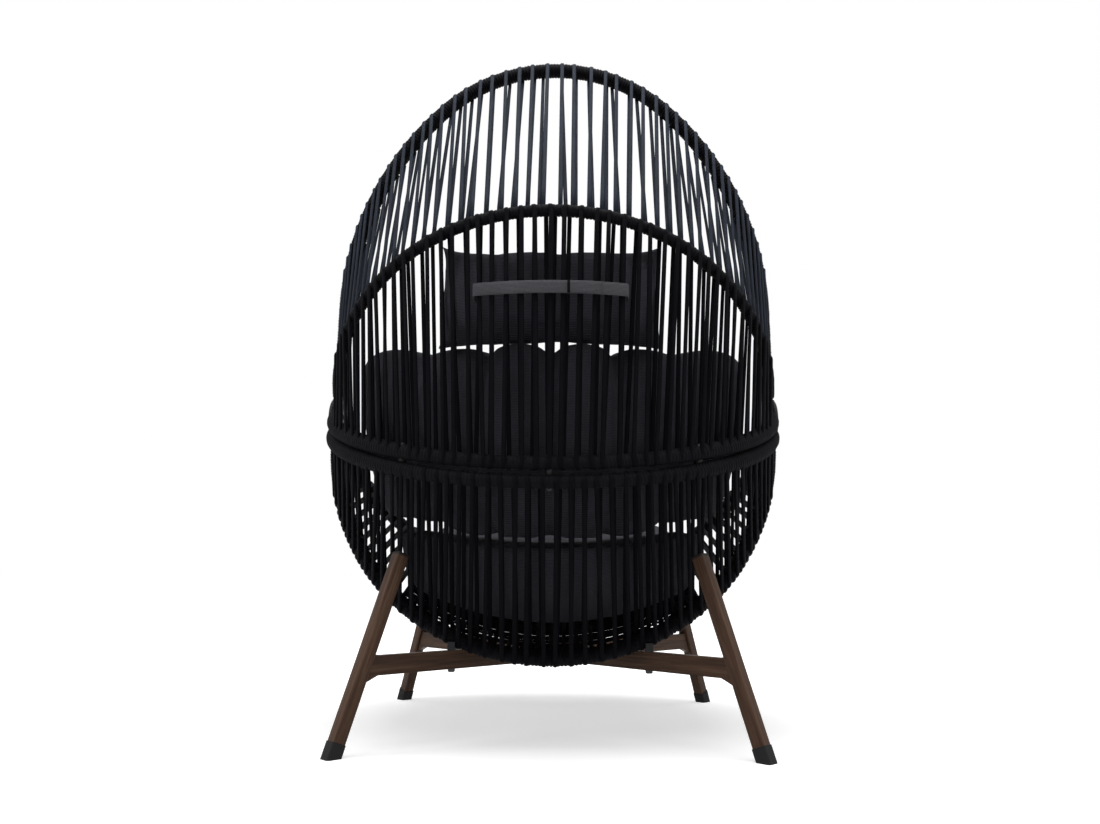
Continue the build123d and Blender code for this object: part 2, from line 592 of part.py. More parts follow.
for word, side in (("left", 1), ("right", -1)):
    spot = Vector(side * MOUNT_SPREAD, bearer_y, RAIL_TOP)
    drill = Pos(spot.X, -MOUNT_SPREAD, 0) * Cylinder(BOLT_DIAMETER / 2 + BOLT_CLEARANCE, 4 * RAIL_TOP)
    turn = Plane(origin=spot, x_dir=(side, -1, 0), z_dir=Z_AXIS)
    plate = turn * Pos(0, 0, POST_PLATE / 2) * Box(POST_PLATE_WIDTH, POST_PLATE_WIDTH, POST_PLATE)
    post_height = bearer_at_post - POST_SHOULDER - RAIL_TOP
    column = turn * Pos(0, 0, post_height / 2) * Cylinder(POST_DIAMETER / 2, post_height)
    bore = turn * Pos(0, 0, post_height / 2 + NUT_HEIGHT + 2 * POST_PLATE) * Cylinder(
        POST_DIAMETER / 2 - POST_WALL, post_height)
    post = plate + column - bore - drill - bearer_bar
    nodes["seat_post_" + word] = max(post.solids(), key=lambda part: part.volume)
    mount_bolts.append(bolt(Plane(origin=(spot.X, -MOUNT_SPREAD, RAIL_BOTTOM), z_dir=Z_AXIS),
                            BOLT_DIAMETER, BOLT_HEAD_DIAMETER, BOLT_HEAD_HEIGHT,
                            RAIL_HEIGHT + POST_PLATE + NUT_HEIGHT))
nodes["mount_bolts"] = mount_bolts
nodes["ring_spacers"] = ring_spacers
nodes["ring_bolts"] = ring_bolts
nodes["ring_nuts"] = ring_nuts


# Seat cushion: flat-topped pad with a rounded underside, wider than the hollow it bridges
def seat_section(y, half_width, lift, rise):
    """Outline across the seat at one depth."""
    corner = seat_height(half_width, y) + SEAT_CLEARANCE + lift
    edge_top = seat_height(SEAT_HALF_WIDTH, y) + SEAT_EDGE + rise
    crown = edge_top + SEAT_CROWN + rise / 2
    sag = max(corner - SEAT_SAG, seat_height(0, y) + SEAT_CLEARANCE + lift)
    middle = (corner + edge_top) / 2
    bulge = half_width + SEAT_SIDE_BULGE * min(1, (edge_top - corner) / SEAT_EDGE)

    def at(x, z):
        return Vector(x, y, z)
    bottom = Edge.make_three_point_arc(at(-half_width, corner), at(0, sag), at(half_width, corner))
    right = Edge.make_three_point_arc(at(half_width, corner), at(bulge, middle), at(half_width, edge_top))
    top = Edge.make_three_point_arc(at(half_width, edge_top), at(0, crown), at(-half_width, edge_top))
    left = Edge.make_three_point_arc(at(-half_width, edge_top), at(-bulge, middle), at(-half_width, corner))
    return Wire([bottom, right, top, left])


nodes["seat_cushion"] = Solid.make_loft([seat_section(*station) for station in SEAT_STATIONS])


# Back cushion: four sewn lobes that follow the rear cords
def ray_to_cords(angle, height):
    """Distance from the chair's upright axis to the rear cords, at an angle from +Y."""
    low, high = 0.0, HALF_WIDTH / max(abs(sin(angle)), 0.5) - 1
    for _ in range(50):
        middle = (low + high) / 2
        x, y = middle * sin(angle), middle * cos(angle)
        if abs(x) < HALF_WIDTH - 1 and y < rear_inner(x, height):
            low = middle
        else:
            high = middle
    return low


def back_section(height, spread, tuck):
    """Outline at one height: lobes between the ends' angle on each side, thinned by the tuck."""
    def at(angle, inset):
        turn = radians(angle)
        distance = ray_to_cords(turn, height) - BACK_GAP - inset
        return Vector(distance * sin(turn), distance * cos(turn), height)
    seam = min(BACK_SEAM, spread * BACK_SEAM_SHARE)
    angles = [-spread, -seam, 0.0, seam, spread]
    near, far = tuck, BACK_THICKNESS - tuck
    edges = []
    for a, b in zip(angles[:-1], angles[1:]):
        edges.append(Edge.make_three_point_arc(at(a, near + BACK_LOBE), at((a + b) / 2, near),
                                               at(b, near + BACK_LOBE)))
    edges.append(Edge.make_line(at(angles[-1], near + BACK_LOBE), at(angles[-1], far - BACK_LOBE)))
    backwards = angles[::-1]
    for a, b in zip(backwards[:-1], backwards[1:]):
        edges.append(Edge.make_three_point_arc(at(a, far - BACK_LOBE), at((a + b) / 2, far),
                                               at(b, far - BACK_LOBE)))
    edges.append(Edge.make_line(at(angles[0], far - BACK_LOBE), at(angles[0], near + BACK_LOBE)))
    return Wire(edges)


back_sections = []
for share, spread_share, tuck_share in BACK_STATIONS:
    back_sections.append(back_section(BACK_BOTTOM + (BACK_TOP - BACK_BOTTOM) * share,
                                      BACK_SPREAD * spread_share, BACK_TUCK * tuck_share))
nodes["back_cushion"] = Solid.make_loft(back_sections)

# Headrest pillow and its strap, on a frame along the middle cord of the hood's rear panel
rear_lean = (hood_mid.point(0) - hood_ring.point(0)).normalized()


def lean_plane(height, depth):
    """Plane square to the rear cords; its Y axis points to the rear."""
    return Plane(origin=(0, depth, height), x_dir=X_AXIS, z_dir=rear_lean)


def pillow_section(offset, half_width, rear, front):
    inner = panel_depth(hood_ring, hood_mid, 0, PILLOW_CENTRE, -1)
    base = lean_plane(PILLOW_CENTRE, inner - SEAT_CLEARANCE / cos(acos(rear_lean.Z)))
    plane = base.offset(offset)

    def at(x, y):
        return plane.from_local_coords((x, y, 0))
    seam = -PILLOW_REAR
    back = Edge.make_three_point_arc(at(-half_width, seam + PILLOW_EDGE), at(0, seam + rear),
                                     at(half_width, seam + PILLOW_EDGE))
    right = Edge.make_line(at(half_width, seam + PILLOW_EDGE), at(half_width, seam - PILLOW_EDGE))
    face = Edge.make_three_point_arc(at(half_width, seam - PILLOW_EDGE), at(0, seam - front),
                                     at(-half_width, seam - PILLOW_EDGE))
    left = Edge.make_line(at(-half_width, seam - PILLOW_EDGE), at(-half_width, seam + PILLOW_EDGE))
    return Wire([back, right, face, left])


pillow_sections = []
for share, draw, swell in PILLOW_STATIONS:
    pillow_sections.append(pillow_section(PILLOW_HEIGHT * share, PILLOW_HALF_WIDTH - PILLOW_DRAW_IN * draw,
                                          PILLOW_REAR * swell, PILLOW_FRONT * swell))
nodes["headrest_pillow"] = Solid.make_loft(pillow_sections)

strap_share = (STRAP_CENTRE - hood_ring.point(0).Z) / (hood_mid.point(0).Z - hood_ring.point(0).Z)
strap_pitch = RING_PITCH + (MID_PITCH - RING_PITCH) * strap_share
strap_half = STRAP_SLOT * strap_pitch
outer_depth = panel_depth(hood_ring, hood_mid, 0, STRAP_CENTRE, 1)
strap_plane = lean_plane(STRAP_CENTRE, outer_depth + STRAP_CLEARANCE)


def strap_end():
    """Sideways place and depth of the outer cords beside the strap's end, on the strap's plane."""
    depth = panel_depth(hood_ring, hood_mid, strap_half, STRAP_CENTRE, 1) + STRAP_CLEARANCE
    local = strap_plane.to_local_coords(Vector(strap_half, depth, STRAP_CENTRE))
    return local.X, local.Y


end_x, end_y = strap_end()
strap_radius = (end_x ** 2 + end_y ** 2) / (2 * abs(end_y))


def band(inner, outer, low, high):
    """Curved strip on the strap's plane between two radii and two sideways places."""
    middle = -strap_radius

    def at(radius, x):
        return (x, middle + sqrt(radius ** 2 - x ** 2))
    centre_x = (low + high) / 2
    outline = [
        ThreePointArc(at(outer, low), at(outer, centre_x), at(outer, high)),
        Line(at(outer, high), at(inner, high)),
        ThreePointArc(at(inner, high), at(inner, centre_x), at(inner, low)),
        Line(at(inner, low), at(outer, low)),
    ]
    face = strap_plane.offset(-STRAP_HEIGHT / 2) * make_face(outline)
    return extrude(face, amount=STRAP_HEIGHT, dir=strap_plane.z_dir).solids()[0]


strap_outer = strap_radius + STRAP_THICKNESS
strap = band(strap_radius, strap_outer, -end_x, end_x)
for side in (1, -1):
    tab_length = 2 * (hood_mid.wrap_radius + CORD_REACH) + PILLOW_REAR
    tab_x = side * (end_x - STRAP_THICKNESS / 2)
    tab_y = end_y - tab_length / 2 + STRAP_THICKNESS
    tab = strap_plane * Pos(tab_x, tab_y, 0) * Box(STRAP_THICKNESS, tab_length, STRAP_HEIGHT)
    strap = strap + tab
strap = strap - nodes["headrest_pillow"]
nodes["headrest_strap"] = max(strap.solids(), key=lambda part: part.volume)
nodes["strap_overlap"] = band(strap_outer, strap_outer + OVERLAP_THICKNESS, -OVERLAP_START - OVERLAP_LENGTH,
                              -OVERLAP_START)

for name, piece in nodes.items():
    if isinstance(piece, list):
        piece = Compound(children=[Solid(item.wrapped) for item in piece])
    export_step(piece, os.path.join("parts", name + ".step"))
print(len(nodes), "nodes")
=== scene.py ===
"""Looks of the rope egg chair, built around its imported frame.

Metres, +Z up; the chair faces -Y and the photograph looks at its back from +Y.
"""
import math
import random

import bpy
import numpy as np
from mathutils import Matrix, Vector


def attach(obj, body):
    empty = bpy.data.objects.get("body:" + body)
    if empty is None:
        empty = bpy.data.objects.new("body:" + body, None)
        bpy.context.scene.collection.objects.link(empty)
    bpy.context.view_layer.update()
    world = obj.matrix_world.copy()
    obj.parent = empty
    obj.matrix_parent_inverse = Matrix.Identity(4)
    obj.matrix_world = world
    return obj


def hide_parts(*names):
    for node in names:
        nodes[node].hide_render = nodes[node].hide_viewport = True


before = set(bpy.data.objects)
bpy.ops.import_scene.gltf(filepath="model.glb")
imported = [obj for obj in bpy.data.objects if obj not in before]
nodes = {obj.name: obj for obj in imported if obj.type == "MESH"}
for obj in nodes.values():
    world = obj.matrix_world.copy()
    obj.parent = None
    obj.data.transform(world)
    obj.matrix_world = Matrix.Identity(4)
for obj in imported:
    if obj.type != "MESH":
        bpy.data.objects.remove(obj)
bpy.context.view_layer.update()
scene = bpy.context.scene
rng = random.Random(41)

# Sizes repeated from the part's source
HALF_WIDTH = 0.472
HOOD_Z = 0.663
BASKET_Z = 0.630
WRAP = 0.003
CORD_REACH = 0.00725
STRANDS = 23
INNER_SHIFT = 0.25
LOWER_INNER = 0.55
UNDER_FIRST = 13
STRAP_HEIGHT = 0.025
STRAP_Z = 0.834
STRAP_SLOT = 5.43

# Sizes of the looks
CORD_WIDTH = 0.0088
CORD_THICK = 0.0052
FACE_LIFT = 0.0004          # middle of a strand above the wrap's radius, where it passes a hoop
TURN_LIFT = -0.0014         # the same on the far side of the hoop, where it joins the winding
DIVE = 0.35                 # where a strand ends under a winding, in wrap radii from the tube's middle
WIND_PITCH = 0.0068
RIDGE = 0.0017
STRAND_JITTER = 0.0024
STRAND_ROLL = 0.30          # most that a strand turns about its own length, in radians


class Hoop:
    """A planar arch from hub to hub, as in the part's source; arcs are measured from the crown."""

    def __init__(self, hub_height, reach, height, join, tube, leg=0.0):
        self.base = np.array((0.0, 0.0, hub_height))
        self.rise = math.hypot(reach, height - hub_height)
        self.up = np.array((0.0, reach, height - hub_height)) / self.rise
        self.leg = leg
        self.wrap_radius = tube / 2 + WRAP
        arch = self.rise - leg
        self.turn = math.radians(join)
        across, upward = math.cos(self.turn), math.sin(self.turn)
        share = across + upward - 1
        self.crown_radius = (HALF_WIDTH * upward - arch * (1 - across)) / share
        self.side_radius = (arch * across - HALF_WIDTH * (1 - upward)) / share
        self.crown_length = self.crown_radius * (math.pi / 2 - self.turn)
        self.side_length = self.side_radius * self.turn
        self.half_length = self.crown_length + self.side_length + leg

    def place(self, arc):
        """Points and headings for an array of arcs; a negative arc is on the -X half."""
        arc = np.atleast_1d(np.asarray(arc, float))
        s, sign = np.abs(arc), np.where(arc < 0, -1.0, 1.0)
        crown = math.pi / 2 - s / self.crown_radius
        side = self.turn - (s - self.crown_length) / self.side_radius
        on_crown = s <= self.crown_length
        on_leg = s > self.crown_length + self.side_length
        angle = np.where(on_crown, crown, side)
        radius = np.where(on_crown, self.crown_radius, self.side_radius)
        x = np.where(on_crown, 0.0, HALF_WIDTH - self.side_radius) + radius * np.cos(angle)
        up = np.where(on_crown, self.rise - self.crown_radius, self.leg) + radius * np.sin(angle)
        x, up = np.where(on_leg, HALF_WIDTH, x), np.where(on_leg, self.half_length - s, up)
        tx = np.where(on_leg, 0.0, np.sin(angle))
        tu = np.where(on_leg, -1.0, -np.cos(angle))
        across = np.array((1.0, 0.0, 0.0))
        point = self.base + (sign * x)[:, None] * across + up[:, None] * self.up
        heading = tx[:, None] * across + (sign * tu)[:, None] * self.up
        return point, heading

    def at_x(self, x):
        """Point and heading where the arch is at a distance from the middle plane."""
        low, high = 0.0, self.half_length - self.leg
        for _ in range(40):
            middle = (low + high) / 2
            if abs(self.place(middle)[0][0][0]) < abs(x):
                low = middle
            else:
                high = middle
        point, heading = self.place(low if x >= 0 else -low)
        return point[0], heading[0]


# Hub height, reach, crown height, join angle, tube diameter and straight leg, as in the part's source
hood_front = Hoop(HOOD_Z, -0.048, 1.5093, 45.9, 0.026, 0.238)
hood_mid = Hoop(HOOD_Z, 0.375, 0.987, 45.0, 0.017)
hood_ring = Hoop(HOOD_Z, 0.424, HOOD_Z - 0.158, 48.16, 0.018)
basket_ring = Hoop(BASKET_Z, 0.424, BASKET_Z - 0.158, 48.16, 0.018)
lower_hoop = Hoop(BASKET_Z, 0.198, 0.154, 32.14, 0.024)
front_rim = Hoop(BASKET_Z, -0.42825, 0.300, 39.36, 0.024)
INSIDE = np.array((0.0, 0.0, (HOOD_Z + BASKET_Z) / 2))
FRONT_PITCH, MID_PITCH, RING_PITCH, LOWER_PITCH, RIM_PITCH = (
    (hoop.half_length - free) / STRANDS for hoop, free in (
        (hood_front, 0.317), (hood_mid, 0.130), (hood_ring, 0.1764),
        (lower_hoop, 0.155), (front_rim, 0.1702)))


def unit(v):
    v = np.asarray(v, float)
    return v / np.linalg.norm(v, axis=-1, keepdims=True)


# Materials
def shader(name, rough, **sockets):
    """New material; returns it with its node tree and its principled shader."""
    mat = bpy.data.materials.new(name)
    mat.use_nodes = True
    tree = mat.node_tree
    bsdf = tree.nodes["Principled BSDF"]
    bsdf.inputs["Roughness"].default_value = rough
    for key, value in sockets.items():
        bsdf.inputs[key.replace("_", " ")].default_value = value
    return mat, tree, bsdf


def node(tree, kind, links=None, **values):
    """New shader node; values go to its properties or sockets, links to its sockets."""
    made = tree.nodes.new(kind)
    for key, value in values.items():
        if hasattr(made, key):
            setattr(made, key, value)
        else:
            made.inputs[key].default_value = value
    for key, source in (links or {}).items():
        tree.links.new(source, made.inputs[key])
    return made


def ramp(tree, fac, *stops):
    made = node(tree, "ShaderNodeValToRGB", {"Fac": fac})
    while len(made.color_ramp.elements) < len(stops):
        made.color_ramp.elements.new(0.5)
    for element, (place, colour) in zip(made.color_ramp.elements, stops):
        element.position = place
        element.color = (*colour, 1.0)
    return made.outputs["Color"]


def math_node(tree, operation, a, b):
    made = tree.nodes.new("ShaderNodeMath")
    made.operation = operation
    for index, value in enumerate((a, b)):
        if isinstance(value, (int, float)):
            made.inputs[index].default_value = value
        else:
            tree.links.new(value, made.inputs[index])
    return made.outputs[0]


def cord_material(name, dark, light, shine):
    """Flat braided cord: its weave runs on UVs in metres, around and along the cord."""
    mat, tree, bsdf = shader(name, 0.70, Specular_IOR_Level=shine)
    uv = node(tree, "ShaderNodeTexCoord").outputs["UV"]
    waves = []
    for turn in (0.9, -0.9):
        spun = node(tree, "ShaderNodeMapping", {"Vector": uv}, Rotation=(0.0, 0.0, turn))
        wave = node(tree, "ShaderNodeTexWave", {"Vector": spun.outputs["Vector"]}, bands_direction="Y",
                    Scale=130.0, Distortion=1.2, Detail=1.0)
        waves.append(wave.outputs["Fac"])
    braid = math_node(tree, "MULTIPLY", waves[0], waves[1])
    place = node(tree, "ShaderNodeTexCoord").outputs["Object"]
    patches = node(tree, "ShaderNodeTexNoise", {"Vector": place}, Scale=14.0, Detail=3.0).outputs["Fac"]
    fibres = node(tree, "ShaderNodeTexNoise", {"Vector": place}, Scale=900.0, Detail=2.0).outputs["Fac"]
    tone = math_node(tree, "ADD", math_node(tree, "MULTIPLY", patches, 0.5),
                     math_node(tree, "MULTIPLY", braid, 0.6))
    tree.links.new(ramp(tree, tone, (0.2, dark), (0.9, light)), bsdf.inputs["Base Color"])
    rise = math_node(tree, "ADD", braid, math_node(tree, "MULTIPLY", fibres, 0.35))
    bump = node(tree, "ShaderNodeBump", {"Height": rise}, Strength=0.55, Distance=0.0007)
    tree.links.new(bump.outputs["Normal"], bsdf.inputs["Normal"])
    return mat


BAND = 0.314                # a wave texture's scale times the spacing of its bands


def fabric_material(name, dark, light, rib, bump_depth, tilt=0.0):
    """Ribbed outdoor fabric: fine level ribs, tilted about X, crossed by yarns of mottled colour."""
    mat, tree, bsdf = shader(name, 0.88, Specular_IOR_Level=0.12)
    place = node(tree, "ShaderNodeTexCoord").outputs["Object"]
    laid = node(tree, "ShaderNodeMapping", {"Vector": place}, Rotation=(tilt, 0.0, 0.0)).outputs["Vector"]
    ribs = node(tree, "ShaderNodeTexWave", {"Vector": laid}, bands_direction="Z", Scale=BAND / rib,
                Distortion=1.4, Detail=2.0, wave_profile="SIN")
    ribs.inputs["Detail Scale"].default_value = 2.0
    yarns = node(tree, "ShaderNodeTexWave", {"Vector": place}, bands_direction="X",
                 Scale=BAND / (rib * 0.55), Distortion=2.0, Detail=1.0)
    weave = math_node(tree, "MULTIPLY", ribs.outputs["Fac"],
                      math_node(tree, "ADD", math_node(tree, "MULTIPLY", yarns.outputs["Fac"], 0.5), 0.5))
    fleck = node(tree, "ShaderNodeTexNoise", {"Vector": place}, Scale=420.0, Detail=3.0, Roughness=0.7)
    cloud = node(tree, "ShaderNodeTexNoise", {"Vector": place}, Scale=9.0, Detail=3.0)
    tone = math_node(tree, "ADD", math_node(tree, "MULTIPLY", weave, 0.42),
                     math_node(tree, "ADD", math_node(tree, "MULTIPLY", fleck.outputs["Fac"], 0.40),
                               math_node(tree, "MULTIPLY", cloud.outputs["Fac"], 0.28)))
    tree.links.new(ramp(tree, tone, (0.28, dark), (0.82, light)), bsdf.inputs["Base Color"])
    folds = node(tree, "ShaderNodeTexNoise", {"Vector": place}, Scale=26.0, Detail=4.0)
    coarse = node(tree, "ShaderNodeBump", {"Height": folds.outputs["Fac"]}, Strength=0.35, Distance=0.004)
    fine = node(tree, "ShaderNodeBump", {"Height": weave, "Normal": coarse.outputs["Normal"]}, Strength=0.8,
                Distance=bump_depth)
    tree.links.new(fine.outputs["Normal"], bsdf.inputs["Normal"])
    return mat


def wood_material(name, axis):
    """Walnut-look finish with grain along an axis."""
    mat, tree, bsdf = shader(name, 0.40, Specular_IOR_Level=0.14)
    place = node(tree, "ShaderNodeTexCoord").outputs["Object"]
    turn = Vector(axis).to_track_quat("Z", "Y").inverted().to_euler()
    local = node(tree, "ShaderNodeMapping", {"Vector": place}, Rotation=tuple(turn))
    stretch = node(tree, "ShaderNodeMapping", {"Vector": local.outputs["Vector"]}, Scale=(1.0, 1.0, 0.045))
    streak = node(tree, "ShaderNodeTexNoise", {"Vector": stretch.outputs["Vector"]}, Scale=190.0, Detail=6.0,
                  Roughness=0.65, Distortion=0.3)
    broad = node(tree, "ShaderNodeTexNoise", {"Vector": stretch.outputs["Vector"]}, Scale=46.0, Detail=3.0,
                 Distortion=1.2)
    tone = math_node(tree, "ADD", math_node(tree, "MULTIPLY", streak.outputs["Fac"], 0.62),
                     math_node(tree, "MULTIPLY", broad.outputs["Fac"], 0.42))
    tree.links.new(ramp(tree, tone, (0.34, (0.0240, 0.0105, 0.0050)), (0.52, (0.0680, 0.0345, 0.0195)),
                        (0.72, (0.1400, 0.0800, 0.0500))), bsdf.inputs["Base Color"])
    gloss = node(tree, "ShaderNodeMapRange", {"Value": streak.outputs["Fac"]})
    gloss.inputs["To Min"].default_value = 0.34
    gloss.inputs["To Max"].default_value = 0.52
    tree.links.new(gloss.outputs["Result"], bsdf.inputs["Roughness"])
    bump = node(tree, "ShaderNodeBump", {"Height": streak.outputs["Fac"]}, Strength=0.25, Distance=0.0005)
    tree.links.new(bump.outputs["Normal"], bsdf.inputs["Normal"])
    return mat


def coated_material(name, dark, light, rough, grain, metallic=0.0):
    """Painted, moulded or plated surface with a fine grain and slow changes of gloss."""
    mat, tree, bsdf = shader(name, rough, Metallic=metallic, Specular_IOR_Level=0.20)
    place = node(tree, "ShaderNodeTexCoord").outputs["Object"]
    cloud = node(tree, "ShaderNodeTexNoise", {"Vector": place}, Scale=22.0, Detail=4.0)
    fine = node(tree, "ShaderNodeTexNoise", {"Vector": place}, Scale=grain, Detail=2.0)
    tree.links.new(ramp(tree, cloud.outputs["Fac"], (0.3, dark), (0.75, light)), bsdf.inputs["Base Color"])
    gloss = node(tree, "ShaderNodeMapRange", {"Value": cloud.outputs["Fac"]})
    gloss.inputs["To Min"].default_value = rough - 0.07
    gloss.inputs["To Max"].default_value = rough + 0.10
    tree.links.new(gloss.outputs["Result"], bsdf.inputs["Roughness"])
    bump = node(tree, "ShaderNodeBump", {"Height": fine.outputs["Fac"]}, Strength=0.3, Distance=0.0003)
    tree.links.new(bump.outputs["Normal"], bsdf.inputs["Normal"])
    return mat


# The hood's upper cords are the same braid as the rest, painted about three times lighter and bluer: painted
# light falling from above.
HOOD_CORD_PAINTED_LIT = cord_material("hood_braid_painted_lit", (0.0068, 0.0092, 0.0150), (0.0270, 0.0345, 0.0520), 0.06)
REAR_CORD = cord_material("rear_braid", (0.0022, 0.0022, 0.0032), (0.0085, 0.0085, 0.0118), 0.03)
SEAT_CORD = cord_material("seat_braid", (0.0024, 0.0024, 0.0034), (0.0092, 0.0092, 0.0126), 0.03)
WOUND_CORD = cord_material("wound_braid", (0.0036, 0.0036, 0.0046), (0.0140, 0.0140, 0.0170), 0.05)
# Charcoal fabric painted about three times lighter than its own tone, to make up for the shade the cords cast
# on the cushions: partly the fabric's colour, partly painted light.
CHARCOAL_PAINTED_LIGHTER = ((0.0285, 0.0280, 0.0355), (0.0880, 0.0865, 0.1040))
FABRIC = fabric_material("charcoal_rib", *CHARCOAL_PAINTED_LIGHTER, 0.0030, 0.0007)
SEAT_FABRIC = fabric_material("charcoal_seat_rib", *CHARCOAL_PAINTED_LIGHTER, 0.0030, 0.0007, math.pi / 4)
WEBBING = fabric_material("grey_webbing", (0.0400, 0.0390, 0.0450), (0.1400, 0.1370, 0.1500), 0.0024, 0.0006)
BLACK_METAL = coated_material("black_coat", (0.0060, 0.0060, 0.0068), (0.0130, 0.0130, 0.0145), 0.46, 900.0)
TUBE_METAL = coated_material("tube_coat", (0.0070, 0.0070, 0.0080), (0.0140, 0.0140, 0.0155), 0.42, 700.0)
BOLT_METAL = coated_material("dark_zinc", (0.0300, 0.0300, 0.0310), (0.0600, 0.0600, 0.0620), 0.38, 500.0,
                             0.9)
RUBBER = coated_material("foot_rubber", (0.0055, 0.0055, 0.0055), (0.0120, 0.0118, 0.0115), 0.66, 600.0)
CAP_PLASTIC = coated_material("cap_plastic", (0.0090, 0.0075, 0.0065), (0.0170, 0.0140, 0.0120), 0.50, 650.0)
QUARTERS = {"rear_left": (1, 1), "rear_right": (-1, 1), "front_left": (1, -1), "front_right": (-1, -1)}
LEG_LEAN = 0.092 / 0.345    # inward run over rise


def paint(obj, mat):
    obj.data.materials.clear()
    obj.data.materials.append(mat)


for name, (sx, sy) in QUARTERS.items():
    paint(nodes["leg_" + name], wood_material("wood_" + name, (-sx * LEG_LEAN, -sy * LEG_LEAN, 1.0)))
    paint(nodes["foot_cap_" + name], RUBBER)
    paint(nodes["leg_top_cap_" + name], CAP_PLASTIC)
paint(nodes["cross_rail_left"], wood_material("wood_rail_left", (1.0, 1.0, 0.0)))
paint(nodes["cross_rail_right"], wood_material("wood_rail_right", (-1.0, 1.0, 0.0)))
for name in ("centre_bolt", "centre_nut", "mount_bolts", "ring_bolts", "ring_nuts"):
    paint(nodes[name], BOLT_METAL)
for name in ("basket_saddle_left", "basket_saddle_right", "seat_post_left", "seat_post_right", "seat_bearer",
             "hood_hub_left", "hood_hub_right", "basket_hub_left", "basket_hub_right", "ring_spacers"):
    paint(nodes[name], BLACK_METAL)
for name in nodes:
    if name.endswith("_tube"):
        paint(nodes[name], TUBE_METAL)


# Meshes swept from rings of points
class Rings:
    """Collects tubes of rings into one mesh with a UV map in metres."""

    def __init__(self):
        self.points, self.faces, self.uvs, self.count = [], [], [], 0

    def tube(self, grid, around, along):
        """grid is rings x points x 3; around and along are the UV values of its columns and rows."""
        rows, cols = grid.shape[:2]
        first = self.count
        self.points.append(grid.reshape(-1, 3))
        self.count += rows * cols
        for i in range(rows - 1):
            for j in range(cols):
                k = (j + 1) % cols
                self.faces.append((first + i * cols + j, first + i * cols + k,
                                   first + (i + 1) * cols + k, first + (i + 1) * cols + j))
                left, right, low, high = around[j], around[j + 1], along[i], along[i + 1]
                self.uvs += [(left, low), (right, low), (right, high), (left, high)]
        for i, order in ((0, range(cols - 1, -1, -1)), (rows - 1, range(cols))):
            self.faces.append(tuple(first + i * cols + j for j in order))
            self.uvs += [(around[j], along[i]) for j in order]

    def build(self, name, mat, body, slot, *replaced):
        mesh = bpy.data.meshes.new(name)
        mesh.from_pydata(np.concatenate(self.points).tolist(), [], self.faces)
        layer = mesh.uv_layers.new(name="UVMap")
        layer.data.foreach_set("uv", np.array(self.uvs, np.float32).ravel())
        mesh.polygons.foreach_set("use_smooth", [True] * len(mesh.polygons))
        mesh.validate()
        obj = bpy.data.objects.new(name, mesh)
        scene.collection.objects.link(obj)
        paint(obj, mat)
        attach(obj, body)
        if replaced:
            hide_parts(*replaced)


AROUND = 10
CORD_SQUARE = 0.75          # 1 for an oval section, less for a squarer one
ring_angles = np.arange(AROUND) * 2 * math.pi / AROUND
RING_ACROSS = np.sign(np.cos(ring_angles)) * np.abs(np.cos(ring_angles)) ** CORD_SQUARE
RING_THROUGH = np.sign(np.sin(ring_angles)) * np.abs(np.sin(ring_angles)) ** CORD_SQUARE
CORD_GIRTH = np.linspace(0.0, 2 * (CORD_WIDTH + CORD_THICK) * 0.82, AROUND + 1)


def sweep_cord(rings, centres, across, normals, width, thick=CORD_THICK):
    """Flat oval cord through centres, with its width and thickness directions at each."""
    grid = (centres[:, None, :] + RING_ACROSS[None, :, None] * (across * width / 2)[:, None, :]
            + RING_THROUGH[None, :, None] * (normals * thick / 2)[:, None, :])
    steps = np.linalg.norm(np.diff(centres, axis=0), axis=1)
    along = np.concatenate(([0.0], np.cumsum(steps))) + rng.uniform(0.0, 1.0)
    rings.tube(grid, CORD_GIRTH, along)


WRAP_TURN = math.radians(97)
WRAP_STEPS = 6
SPAN = np.array((0.0, 0.12, 0.35, 0.65, 0.88, 1.0))


